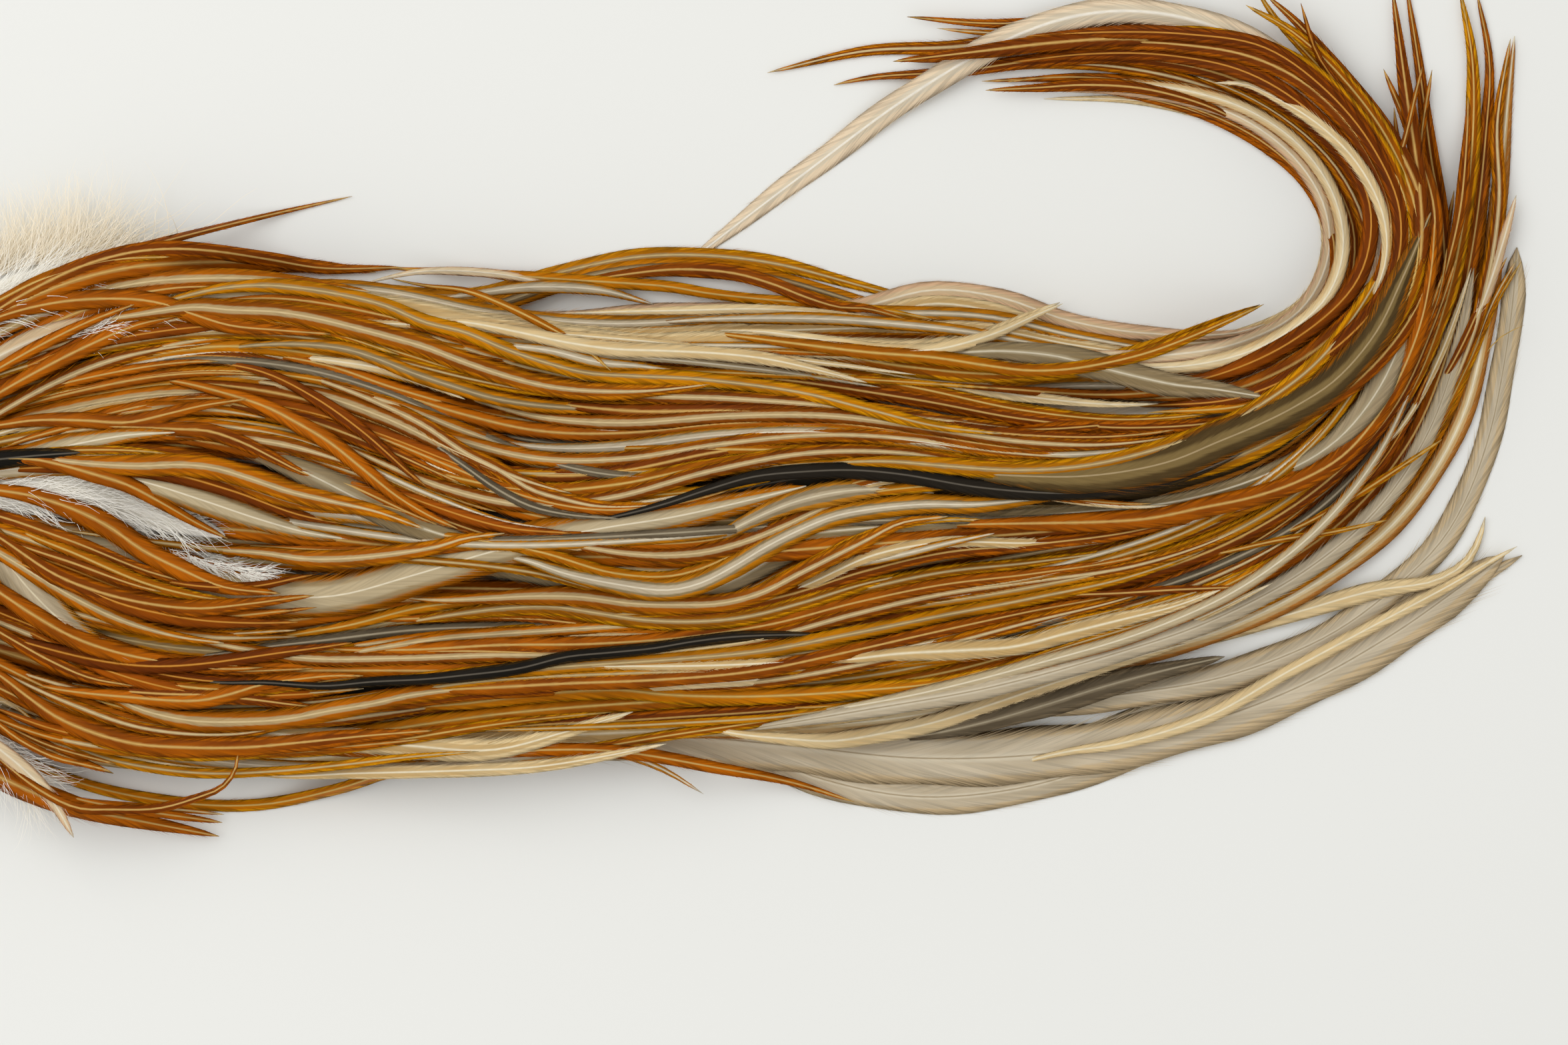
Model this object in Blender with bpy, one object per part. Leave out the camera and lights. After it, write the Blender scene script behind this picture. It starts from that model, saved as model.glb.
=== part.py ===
"""A rooster saddle hackle: long narrow feathers on a patch of dried skin, lying flat.

The skin lies at the left end. The feathers root in it in locks, stream to the right along +X, and
the longest locks sweep round in a curl. Every lock is one closed ribbon with a raised shaft line,
laid in turn on the pile of those below it, as the feathers of a real pelt lie. Three soft locks
are the white down that grows between the feathers.

Plan positions are millimetres right of and below the upper left corner of a sheet under the
feathers. Heights are millimetres above the table.
"""

import bmesh
import bpy
import numpy as np

MM = 0.001

# The sheet point that becomes the part's origin, the middle of the footprint.
SHEET_ORIGIN = (75.26, 61.51)

# Skin patch: an egg outline, narrow towards the bird's neck.
SKIN_FRONT_X = -78.0
SKIN_REAR_X = -8.0
SKIN_MIDDLE_Y = 75.0
SKIN_HALF_WIDTH = 26.0
SKIN_THICKNESS = 1.4
SKIN_EDGE_BEVEL = 0.5
SKIN_OUTLINE_POINTS = 56
SKIN_EGG_SHARE = 0.16
SKIN_WAVE_SHARE = 0.02
SKIN_SHARP_ANGLE = 0.6

# Lock section: a flat roof with its ridge on the shaft line.
ROOF_RISE = 0.5
EDGE_RISE = 0.12
ROOT_WIDTH_SHARE = 0.42
ROOT_LENGTH = 26.0
TIP_SHARE = 0.30
TIP_WIDTH_SHARE = 0.10
TIP_THICKNESS_SHARE = 0.25
TIP_FULLNESS = 0.7
GAP = 0.3

# Stations along a lock: closer where it bends.
STATION_SPACING = 17.0
BEND_PER_STATION = 0.30

# The pile's height map, in millimetres.
CELL = 0.5
MAP_LEFT, MAP_RIGHT = -90.0, 245.0
MAP_TOP, MAP_BOTTOM = -15.0, 140.0
RASTER_STEP = 0.25

# Colour and roughness of each kind of lock.
LOOKS = {
    "ginger": ((0.52, 0.20, 0.03), 0.5),
    "golden": ((0.55, 0.30, 0.04), 0.5),
    "cream": ((0.72, 0.58, 0.40), 0.6),
    "taupe": ((0.42, 0.35, 0.27), 0.6),
    "black": ((0.03, 0.025, 0.02), 0.4),
    "down": ((0.82, 0.80, 0.75), 0.9),
}

# Locks from the table up: name, colour, half width, and the points that the shaft line passes.
LOCKS = [
    ("trailing_grey_1", "taupe", 4.4, [(-15, 88), (12, 101), (50, 107), (90, 108), (110, 110.5), (123, 115.5),
     (137, 118), (152, 116.5), (168, 111.5), (185, 104.5), (205, 95.5), (228.3, 82)]),
    ("trailing_grey_2", "taupe", 4.2, [(-23, 92), (8, 105), (50, 110), (90, 110), (118, 112.5), (138, 114),
     (160, 112.5), (180, 108.5), (196, 103), (210, 95.5), (220, 88.5), (226.6, 83.6)]),
    ("rising_grey", "taupe", 2.6, [(-15, 84), (18, 99), (60, 105), (105, 106), (145, 106), (170, 104),
     (185, 101.5), (200, 95), (210, 86.5), (218, 74.5), (223.5, 61), (226.8, 49), (227.8, 37)]),
    ("kinked_tan", "cream", 1.7, [(-23, 88), (10, 100), (60, 106), (110, 107), (150, 102), (175, 97),
     (193, 92.6), (206, 88.8), (216, 87), (220.5, 84.2), (222.4, 80.8), (223.3, 77.5)]),
    ("edge_cream", "cream", 3.4, [(-15, 80), (18, 97), (60, 105), (105, 108), (140, 105.5), (165, 98.5),
     (185, 92.5), (199, 85), (210, 75.5), (218.5, 62), (223, 48), (225.6, 34), (226.3, 19), (226.8, 4.5)]),
    ("outer_ginger_1", "ginger", 3.0, [(-23, 84), (10, 99), (50, 106), (90, 105), (130, 103), (160, 97),
     (184, 90), (200, 81), (212, 67.5), (219, 54), (223, 44.5), (226.8, 37.8)]),
    ("outer_ginger_2", "ginger", 3.0, [(-15, 76), (15, 92), (50, 101), (90, 101.5), (130, 100.5), (160, 94.5),
     (184, 87), (199, 78), (210, 65), (216, 50), (219.5, 35), (221.6, 20), (222.4, 9), (220.6, -1.5)]),
    ("outer_ginger_3", "ginger", 3.0, [(-15, 72), (15, 86), (50, 97), (90, 97), (130, 95), (160, 89.5),
     (184, 82.5), (200, 72.5), (210, 59), (214.6, 45), (214.6, 34), (213, 24), (211.6, 12), (209.6, -3)]),
    ("outer_ginger_4", "ginger", 2.8, [(-23, 80), (5, 90), (45, 95), (90, 93.5), (130, 89.5), (160, 85),
     (182, 78), (197, 67.5), (206, 55), (210.6, 42), (211.6, 30), (212, 20), (213.8, 9.8)]),
    ("curl_1", "cream", 2.8, [(-15, 60), (10, 51), (45, 45), (85, 50), (120, 51.5), (150, 52.5), (172, 53),
     (186, 50.5), (195, 44.5), (198.6, 36), (196.4, 28.8), (191, 22.6), (183, 17.6), (172, 14), (160, 12.8),
     (147.5, 13)]),
    ("curl_2", "ginger", 2.8, [(-15, 63), (10, 55), (45, 49), (85, 54), (120, 57), (150, 59), (174, 59.5),
     (190, 55), (200, 46.5), (202.6, 36), (199, 26.8), (191.5, 19.6), (181, 14.6), (168, 11.8), (156, 11.4),
     (144.5, 13)]),
    ("curl_3", "ginger", 2.9, [(-23, 60), (5, 51), (45, 46), (85, 55), (120, 59), (150, 62.5), (176, 62.5),
     (193, 56.5), (203.6, 46.5), (205.6, 35), (201.4, 25), (193, 17), (182, 11.6), (168, 9.2), (150, 10.4)]),
    ("curl_4", "ginger", 2.9, [(-15, 67), (10, 60), (45, 54), (80, 61), (115, 63), (150, 66), (179, 64.5),
     (197, 57), (208, 45.5), (209.4, 34), (205, 24.6), (197, 16), (186, 10), (172, 6.8), (157, 6.6),
     (143, 8.2), (130, 9), (115.6, 12.5)]),
    ("curl_5", "ginger", 2.8, [(-23, 67), (5, 60), (45, 58), (80, 67), (115, 67), (150, 69.5), (180, 67),
     (199, 58.5), (210.4, 46), (211, 33.4), (206, 22.4), (198, 14), (188, 8.2), (175, 5.2), (160, 4.8),
     (147, 4.6), (136, 3.6)]),
    ("curl_6", "ginger", 2.8, [(-23, 72), (5, 66), (40, 62), (75, 71), (100, 74), (130, 70), (160, 70),
     (182, 69), (199, 61), (209.6, 49.6), (212.4, 38), (209.4, 27.4), (202.6, 17.6), (195, 9.4), (190, 4),
     (186, -2)]),
    ("curl_7", "ginger", 2.6, [(-31, 64), (0, 57), (40, 55), (80, 66), (115, 68), (150, 70.5), (180, 68.5),
     (199, 60), (210, 48), (211.4, 36), (207, 24.8), (200.4, 15.4), (196, 8.6), (193.7, 0.8)]),
    ("curl_cream", "cream", 2.6, [(-31, 60), (0, 52), (40, 47), (85, 55), (120, 58), (150, 62), (178, 61.5),
     (196, 55), (206.4, 44.4), (208, 33), (202.4, 21), (192.6, 9.6), (181, 3.4), (170, 1.2), (160, 2.2),
     (149, 6.4), (135, 15), (120, 26.4), (102, 40.3)]),
    ("low_ginger_1", "ginger", 2.9, [(-31, 88), (0, 100), (22, 106), (45, 106.5), (70, 103.5), (95, 102.5),
     (120, 101.5), (142, 98.5), (162, 93.5), (181, 87), (196, 78.5), (206.6, 67), (213, 54)]),
    ("low_ginger_2", "ginger", 2.9, [(-31, 92), (-6, 104), (12, 111), (30, 113), (50, 112), (75, 109), (100, 107.4),
     (122, 106), (142, 102.6), (160, 97.4), (176, 92.4), (190, 85.6)]),
    ("low_golden", "golden", 2.8, [(-23, 76), (5, 88), (30, 96), (50, 95), (65, 92), (80, 91.4), (100, 93),
     (118, 91.4), (136, 87), (155, 83), (172, 79.6), (187, 74.6), (199, 66.4), (206, 57)]),
    ("low_ginger_3", "ginger", 2.9, [(-31, 84), (0, 96), (22, 101), (45, 99), (65, 96.4), (85, 95.4), (105, 94.6),
     (125, 92.6), (145, 89), (165, 85.6), (183, 80), (198, 71), (208, 60), (213.4, 48), (216.6, 38)]),
    ("bottom_loop", "ginger", 1.8, [(-39, 92), (-14, 106), (0, 113), (12, 118), (26, 120.8), (39, 121), (50, 118.6),
     (60, 115.4), (72, 114), (86, 112.6), (100, 110.4), (120, 107.4), (140, 103.4), (155, 99), (168, 95)]),
    ("low_stray_1", "cream", 1.7, [(-39, 88), (-8, 104), (18, 112), (44, 115), (68, 114.6), (84, 113), (92, 113),
     (99, 115.4), (105.4, 119.4)]),
    ("low_stray_2", "cream", 1.7, [(-39, 84), (-8, 99), (20, 108.6), (48, 112), (74, 112.4), (92, 112.6),
     (108, 115.4), (119, 117.8), (128.2, 120.7)]),
    ("mid_ginger_1", "ginger", 2.9, [(-31, 80), (0, 88), (28, 93), (55, 90), (78, 90), (98, 91), (110, 89.4),
     (120, 85), (130, 80.4), (141, 78.4), (156, 78.8), (171, 77.6), (186, 74), (199, 66.6), (208, 55.6),
     (213.6, 44), (215, 37)]),
    ("mid_taupe", "taupe", 3.0, [(-31, 76), (0, 78), (35, 81), (62, 82), (80, 84.4), (92, 87.8), (101, 88.4),
     (109, 86.2), (118, 81), (128, 77.6), (140, 76.2), (153, 75.4), (168, 74), (186, 74.6)]),
    ("mid_ginger_2", "ginger", 2.7, [(-39, 80), (0, 80), (35, 82.6), (62, 83.4), (84, 82), (99, 83.6), (110, 82.6),
     (120, 78.4), (130, 74.2), (141, 73), (156, 75.4), (172, 76.4), (188, 73.6), (201, 66)]),
    ("bend_taupe", "taupe", 3.5, [(-39, 76), (0, 74), (35, 77), (70, 81), (100, 81), (130, 79), (158, 77.6),
     (179, 75), (194, 69), (204.6, 59.4), (210.4, 49), (213.6, 40.5)]),
    ("black_low", "black", 2.1, [(-39, 72), (-8, 84), (15, 97), (32, 101.6), (48, 102.6), (68, 101.4), (84, 99.2),
     (99, 97), (112, 95.6), (130, 95.4)]),
    ("black_long", "black", 2.3, [(-31, 72), (-8, 69), (8, 68.4), (28, 70), (52, 75), (76, 78.6), (92, 77.4),
     (106, 74.2), (121, 71.4), (135, 71.2), (147, 73.2), (160, 74), (173, 72.6), (186, 68.4), (198, 60.4),
     (207, 48.6)]),
    ("bend_olive", "taupe", 2.6, [(-39, 68), (-5, 64), (35, 62), (70, 68), (100, 68.6), (130, 68.4), (158, 71),
     (179, 69), (194, 62.4), (204, 51.6), (210, 41), (214.5, 31.6)]),
    ("arch_olive", "golden", 2.3, [(-31, 56), (0, 48), (32, 43.4), (56, 45), (72, 45), (84, 41.4), (95, 39.2),
     (105, 39), (116, 40.4), (130, 44.2), (140, 46.8), (149, 48.8)]),
    ("arch_cream", "cream", 2.5, [(-39, 60), (0, 52), (40, 48), (80, 49.6), (100, 48), (116, 47.4), (128, 47),
     (140, 44.2), (150, 45.4), (160, 49), (172, 51.2), (187, 51), (197, 46.6)]),
    ("upper_ginger_1", "ginger", 2.8, [(-39, 64), (-6, 57), (20, 48.6), (40, 46), (58, 49), (74, 54), (90, 58),
     (108, 58.6), (122, 60), (134, 63.6), (147, 65.8), (162, 65.8), (179, 63.4), (193, 57)]),
    ("upper_grey", "taupe", 3.2, [(-47, 64), (-5, 56), (40, 50), (90, 53), (125, 56), (148, 57.8), (160, 56.8),
     (172, 57), (182, 58.6), (189.7, 59.8)]),
    ("upper_cream_1", "cream", 2.8, [(-47, 60), (-5, 52), (35, 45.6), (56, 45.4), (74, 48.6), (92, 50.2), (112, 49.4),
     (132, 49), (148, 49.4), (162, 52.2), (176, 54), (188, 52.8), (197.4, 48), (206.4, 39.4)]),
    ("upper_cream_2", "cream", 2.7, [(-47, 68), (-10, 61), (25, 51.6), (56, 48.6), (78, 50.8), (98, 53.4), (118, 55),
     (138, 58.2), (154, 61.4), (170, 62.8), (186, 61), (198, 55.4)]),
    ("orange_single", "golden", 1.6, [(-47, 56), (0, 50), (35, 46), (60, 48), (82, 51.6), (102, 51.8), (120, 52.6),
     (136, 55), (150, 56), (164, 54.6), (175, 51.2), (189.3, 45.7)]),
    ("upper_cream_3", "cream", 2.0, [(-39, 56), (-5, 50), (30, 45), (55, 46), (75, 49.4), (95, 51.6), (112, 51.6),
     (126, 52.6), (138, 52.8), (147, 50.8), (154, 47.6), (159.2, 45.3)]),
    ("low_cream", "cream", 2.2, [(-39, 80), (-5, 90), (25, 98), (60, 99.4), (100, 99.6), (128, 98.4), (145, 97),
     (160, 94.6), (174, 91), (181.6, 88.6)]),
    ("cross_cream", "cream", 2.1, [(-47, 88), (-12, 100), (15, 107.4), (42, 110), (60, 111.4), (74, 112.2), (85, 109.6),
     (95, 106.8)]),
    ("fall_1", "ginger", 2.7, [(-47, 72), (-12, 66), (12, 57), (32, 53), (48, 54.4), (60, 58), (73, 61.2), (88, 63),
     (104, 63), (120, 62.6), (134, 63.4), (147, 65.2)]),
    ("fall_2", "ginger", 2.9, [(-55, 66), (-18, 61), (6, 52.6), (28, 48.4), (46, 49.4), (60, 53.4), (72, 56.6),
     (84, 58.6), (96, 58.8), (108, 57.2)]),
    ("fall_3", "ginger", 3.0, [(-55, 70), (-18, 66), (8, 59), (28, 56), (45, 57.4), (58, 61), (70, 66), (81, 70),
     (92, 72), (104, 71.8), (117, 70)]),
    ("fall_4", "ginger", 3.0, [(-47, 76), (-14, 71), (8, 64.4), (28, 61), (44, 62.6), (56, 66), (68, 70.6), (79, 74.6),
     (90, 76.2), (101, 75), (109, 72.8)]),
    ("down_middle", "down", 5.0, [(-47, 77), (-20, 74), (2, 73.4), (18, 75.4), (34, 80.4)]),
    ("fall_5", "ginger", 3.0, [(-55, 74), (-18, 71), (8, 66.6), (26, 65), (42, 67), (54, 71), (65, 75.4), (76, 78.8),
     (86, 79.8)]),
    ("wide_tan", "taupe", 3.4, [(-47, 80), (-14, 80.6), (8, 81.6), (24, 85.4), (38, 88.8), (50, 89), (62, 86),
     (75, 82.4), (90, 79.6), (101, 78), (111, 75.8), (121, 73.2)]),
    ("spindle_ginger", "ginger", 2.6, [(-55, 78), (-20, 73), (4, 69.4), (24, 69), (36, 71.6), (46, 74.8), (57, 76.6),
     (68, 79.8)]),
    ("left_ginger_1", "ginger", 2.8, [(-47, 84), (-14, 86.6), (4, 93), (18, 99.4), (32, 102.4), (44, 102.2),
     (54.6, 101.2)]),
    ("left_ginger_2", "ginger", 2.8, [(-55, 86), (-22, 92.6), (-4, 99.6), (10, 106), (22, 110), (36, 110.8),
     (49, 108)]),
    ("left_ginger_3", "ginger", 2.8, [(-55, 82), (-20, 82.6), (-2, 86.4), (14, 91), (30, 93.4), (44.6, 93)]),
    ("left_ginger_4", "ginger", 2.9, [(-63, 78), (-26, 76.6), (-4, 78.4), (10, 83), (24, 88.4), (37, 90.4),
     (47.6, 89.2)]),
    ("down_lower", "down", 4.4, [(-55, 84), (-30, 94), (-10, 106), (2, 115), (10, 123)]),
    ("left_low_1", "ginger", 2.2, [(-47, 92), (-20, 106), (-2, 115), (10, 120.4), (21, 123.2), (32.4, 125.8)]),
    ("left_low_2", "ginger", 2.2, [(-55, 90), (-22, 99), (-2, 107), (8, 112.4), (17.2, 115.8)]),
    ("down_upper", "down", 4.6, [(-55, 66), (-26, 58), (-6, 49), (10, 42), (24, 41)]),
    ("crown_ginger", "ginger", 2.6, [(-63, 74), (-30, 69.6), (-8, 60.4), (6, 53.6), (18, 47.4), (30.4, 42.8)]),
    ("upper_stray", "ginger", 1.9, [(-55, 62), (-24, 55.6), (-2, 46.8), (12, 40.2), (25, 36.4), (38, 32.6),
     (52.4, 29.2)]),
]



def sheet_to_part(x, y):
    """Sheet millimetres to part millimetres: the sheet's y runs down, the part's runs up."""
    return x - SHEET_ORIGIN[0], SHEET_ORIGIN[1] - y


def material(name, colour, roughness):
    """The material of that name, made the first time it is asked for."""
    made = bpy.data.materials.get(name) or bpy.data.materials.new(name)
    made.use_nodes = True
    shader = made.node_tree.nodes["Principled BSDF"]
    shader.inputs["Base Color"].default_value = (*colour, 1.0)
    shader.inputs["Roughness"].default_value = roughness
    shader.inputs["Metallic"].default_value = 0.0
    return made


def add_object(name, mesh, look):
    """Puts the mesh in the scene as one named piece."""
    made = bpy.data.objects.new(name, mesh)
    made.data.materials.append(look)
    bpy.context.scene.collection.objects.link(made)
    return made


def smooth_line(points, spacing=0.5):
    """A Catmull-Rom curve through the points, centripetal, sampled at an even spacing."""
    p = np.array(points, float)
    p = np.vstack([2 * p[0] - p[1], p, 2 * p[-1] - p[-2]])
    parts = []
    for i in range(1, len(p) - 2):
        q = p[i - 1 : i + 3]
        t = np.concatenate([[0.0], np.cumsum(np.linalg.norm(np.diff(q, axis=0), axis=1) ** 0.5)])
        u = np.linspace(t[1], t[2], 60)[:, None]
        a = [(t[k + 1] - u) / (t[k + 1] - t[k]) * q[k] + (u - t[k]) / (t[k + 1] - t[k]) * q[k + 1] for k in range(3)]
        b = [(t[k + 2] - u) / (t[k + 2] - t[k]) * a[k] + (u - t[k]) / (t[k + 2] - t[k]) * a[k + 1] for k in range(2)]
        parts.append(((t[2] - u) * b[0] + (u - t[1]) * b[1]) / (t[2] - t[1]))
    line = np.vstack(parts)
    run = np.concatenate([[0.0], np.cumsum(np.linalg.norm(np.diff(line, axis=0), axis=1))])
    even = np.linspace(0, run[-1], max(8, int(run[-1] / spacing)))
    return np.column_stack([np.interp(even, run, line[:, k]) for k in range(2)]), even


def stations(line, run):
    """The line cut into stretches of even length plus bend, so that curves get more of them."""
    heading = np.unwrap(np.arctan2(*np.gradient(line, axis=0).T[::-1]))
    bend = np.concatenate([[0.0], np.cumsum(np.abs(np.diff(heading)))])
    effort = run / STATION_SPACING + bend / BEND_PER_STATION
    count = max(6, int(round(effort[-1])))
    along = np.interp(np.linspace(0, effort[-1], count + 1), effort, run)
    return np.column_stack([np.interp(along, run, line[:, k]) for k in range(2)]), along


def half_widths(along, widest):
    """Narrow at the root, full in the middle, and drawn out to the tip."""
    root = ROOT_WIDTH_SHARE + (1 - ROOT_WIDTH_SHARE) * np.clip(along / ROOT_LENGTH, 0, 1)
    left = (along[-1] - along) / (TIP_SHARE * along[-1])
    tip = TIP_WIDTH_SHARE + (1 - TIP_WIDTH_SHARE) * np.clip(left, 0, 1) ** TIP_FULLNESS
    return widest * root * tip


def sideways(points):
    """Unit vectors to the left of the path in part axes, from the chords on both sides."""
    steps = np.diff(points, axis=0)
    steps /= np.linalg.norm(steps, axis=1)[:, None]
    ahead = np.vstack([steps[:1], steps[:-1] + steps[1:], steps[-1:]])
    ahead /= np.linalg.norm(ahead, axis=1)[:, None]
    return np.column_stack([-ahead[:, 1], ahead[:, 0]])


class Pile:
    """The height of what lies on the table so far, on a grid of cells."""

    def __init__(self):
        self.left, self.low = sheet_to_part(MAP_LEFT, MAP_BOTTOM)
        columns = int((MAP_RIGHT - MAP_LEFT) / CELL)
        rows = int((MAP_BOTTOM - MAP_TOP) / CELL)
        self.height = np.zeros((rows, columns))

    def cells(self, x, y):
        """The row and column of the cell that each point lies over."""
        column = np.clip(((x - self.left) / CELL).astype(int), 0, self.height.shape[1] - 1)
        row = np.clip(((y - self.low) / CELL).astype(int), 0, self.height.shape[0] - 1)
        return row, column

    def add(self, x, y, z):
        """Raises the cell under each point, and its eight neighbours, to at least the point's height."""
        row, column = self.cells(x, y)
        for up in (-1, 0, 1):
            for across in (-1, 0, 1):
                r = np.clip(row + up, 0, self.height.shape[0] - 1)
                c = np.clip(column + across, 0, self.height.shape[1] - 1)
                np.maximum.at(self.height, (r, c), z)

    def top(self, x, y):
        """The height of the pile under each point."""
        return self.height[self.cells(x, y)]


def patch(corners, across, along):
    """Points of a bilinear patch; corners are near left, near right, far left and far right."""
    a, b = np.meshgrid(np.linspace(0, 1, along), np.linspace(0, 1, across), indexing="ij")
    a, b = a[..., None], b[..., None]
    near_left, near_right, far_left, far_right = corners
    return ((1 - a) * ((1 - b) * near_left + b * near_right) + a * ((1 - b) * far_left + b * far_right)).reshape(-1, 3)


def strips(left, right):
    """The patches between two rails, one for each stretch, as one array of points."""
    made = []
    for i in range(len(left) - 1):
        length = max(np.linalg.norm(left[i + 1] - left[i]), np.linalg.norm(right[i + 1] - right[i]))
        width = max(np.linalg.norm(right[i] - left[i]), np.linalg.norm(right[i + 1] - left[i + 1]))
        made.append((patch((left[i], right[i], left[i + 1], right[i + 1]),
                           int(width / RASTER_STEP) + 2, int(length / RASTER_STEP) + 2)))
    return made


def rail(plan, z):
    """Plan points with their heights."""
    return np.column_stack([plan, z])


def resting_height(pile, left, right):
    """For each station, the least height that clears the pile in the stretches on both sides."""
    ground = np.zeros(len(left))
    peaks = []
    for points in strips(rail(left, ground), rail(right, ground)):
        top = pile.top(points[:, 0], points[:, 1]).max()
        peaks.append(top + GAP if top > 0 else 0.0)
    peaks = np.array(peaks)
    return np.maximum(np.append(peaks[0], peaks), np.append(peaks, peaks[-1]))


def lay_lock(pile, name, colour, widest, points):
    """One lock: four rails along it, left edge, ridge, right edge and keel, closed by two end caps."""
    line, run = smooth_line([sheet_to_part(*p) for p in points])
    centre, along = stations(line, run)
    half = half_widths(along, widest)[:, None]
    side = sideways(centre)
    left, right = centre + side * half, centre - side * half
    low_left = resting_height(pile, left, centre)
    low_right = resting_height(pile, centre, right)
    low_centre = np.maximum(low_left, low_right)
    thin = np.clip((along[-1] - along) / (TIP_SHARE * along[-1]), TIP_THICKNESS_SHARE, 1)
    edge_left = rail(left, low_left + EDGE_RISE)
    edge_right = rail(right, low_right + EDGE_RISE)
    ridge = rail(centre, low_centre + ROOF_RISE * thin)
    keel = rail(centre, low_centre)
    for pair in ((edge_left, ridge), (ridge, edge_right)):
        for cells in strips(*pair):
            pile.add(*cells.T)
    mesh = ribbon_mesh(name, [edge_left, ridge, edge_right, keel])
    return add_object(name, mesh, material(colour + "_feather", *LOOKS[colour]))


def ribbon_mesh(name, rails):
    """A closed body between the rails, which hold one point each for every station."""
    build = bmesh.new()
    rows = [[build.verts.new(r[i] * MM) for r in rails] for i in range(len(rails[0]))]
    sides = len(rails)
    for near, far in zip(rows, rows[1:]):
        for k in range(sides):
            n = (k + 1) % sides
            build.faces.new((near[k], near[n], far[n], far[k]))
    build.faces.new(rows[0][::-1])
    build.faces.new(rows[-1])
    bmesh.ops.triangulate(build, faces=build.faces)
    bmesh.ops.recalc_face_normals(build, faces=build.faces)
    mesh = bpy.data.meshes.new(name)
    build.to_mesh(mesh)
    build.free()
    mesh.shade_smooth()
    return mesh


def skin_outline():
    """An egg: an ellipse whose width falls off towards the neck end."""
    turn = np.linspace(0, 2 * np.pi, SKIN_OUTLINE_POINTS, endpoint=False)
    half_length = (SKIN_REAR_X - SKIN_FRONT_X) / 2
    middle = (SKIN_REAR_X + SKIN_FRONT_X) / 2
    x = middle + half_length * np.cos(turn)
    egg = 1 + SKIN_EGG_SHARE * np.cos(turn)
    wave = 1 + SKIN_WAVE_SHARE * (np.sin(5 * turn + 1.0) + 0.75 * np.sin(9 * turn))
    y = SKIN_MIDDLE_Y + SKIN_HALF_WIDTH * np.sin(turn) * egg * wave
    return np.column_stack(sheet_to_part(x, y))


def spread_skin(pile, outline):
    """Marks the skin's height in the pile, ring inside ring."""
    centre = outline.mean(axis=0)
    rings = int(SKIN_HALF_WIDTH * 2 / RASTER_STEP)
    for share in np.linspace(0, 1, rings):
        ring = centre + (outline - centre) * share
        closed = np.vstack([ring, ring[:1]])
        steps = int(2 * SKIN_HALF_WIDTH / SKIN_OUTLINE_POINTS / RASTER_STEP * 4) + 2
        fine = np.vstack([np.linspace(a, b, steps) for a, b in zip(closed, closed[1:])])
        pile.add(fine[:, 0], fine[:, 1], np.full(len(fine), SKIN_THICKNESS))


def lay_skin(pile):
    """The skin patch: its outline raised to the skin's thickness, with a bevelled upper rim."""
    outline = skin_outline()
    build = bmesh.new()
    base = build.faces.new([build.verts.new((x * MM, y * MM, 0.0)) for x, y in outline])
    raised = bmesh.ops.extrude_face_region(build, geom=[base])
    top = [v for v in raised["geom"] if isinstance(v, bmesh.types.BMVert)]
    bmesh.ops.translate(build, verts=top, vec=(0, 0, SKIN_THICKNESS * MM))
    rim = [e for e in build.edges if all(v.co.z > 0.5 * SKIN_THICKNESS * MM for v in e.verts)]
    bmesh.ops.bevel(build, geom=rim, offset=SKIN_EDGE_BEVEL * MM, segments=1, affect="EDGES")
    bmesh.ops.recalc_face_normals(build, faces=build.faces)
    mesh = bpy.data.meshes.new("skin_patch")
    build.to_mesh(mesh)
    build.free()
    mesh.shade_smooth()
    mesh.set_sharp_from_angle(angle=SKIN_SHARP_ANGLE)
    spread_skin(pile, outline)
    return add_object("skin_patch", mesh, material("dried_skin", (0.62, 0.47, 0.28), 0.6))


def main():
    """Clears the scene, lays the skin, then the locks from the table up."""
    for old in list(bpy.data.objects):
        bpy.data.objects.remove(old)
    pile = Pile()
    lay_skin(pile)
    for lock in LOCKS:
        lay_lock(pile, *lock)
    print("pile height", round(pile.height.max(), 1), "mm")


main()
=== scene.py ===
import bpy
import numpy as np
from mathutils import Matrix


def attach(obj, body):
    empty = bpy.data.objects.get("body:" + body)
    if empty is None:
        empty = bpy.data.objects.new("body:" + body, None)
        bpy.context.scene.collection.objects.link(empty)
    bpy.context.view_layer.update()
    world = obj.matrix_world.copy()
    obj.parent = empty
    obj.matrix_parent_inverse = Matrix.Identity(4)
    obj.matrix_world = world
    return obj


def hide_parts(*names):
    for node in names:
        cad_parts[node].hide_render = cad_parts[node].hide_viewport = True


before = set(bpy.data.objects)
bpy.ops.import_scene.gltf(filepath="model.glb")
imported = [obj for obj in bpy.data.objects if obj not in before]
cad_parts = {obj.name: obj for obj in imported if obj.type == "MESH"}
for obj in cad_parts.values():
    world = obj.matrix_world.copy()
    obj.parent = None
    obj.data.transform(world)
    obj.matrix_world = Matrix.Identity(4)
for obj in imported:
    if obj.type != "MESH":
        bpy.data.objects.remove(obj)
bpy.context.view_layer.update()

print("frame loaded:", len(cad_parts), "solids")

mm = 0.001
sheetOrigin = (75.26, 61.51)  # the sheet point over the part's origin, mm from the sheet's upper left corner


def linear(hexColour):
    # sRGB hex to linear light: ((c + 0.055) / 1.055) ^ 2.4, or c / 12.92 near black
    c = np.array([int(hexColour[i:i + 2], 16) for i in (1, 3, 5)]) / 255
    return (*np.where(c < 0.04045, c / 12.92, ((c + 0.055) / 1.055) ** 2.4), 1.0)


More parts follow.
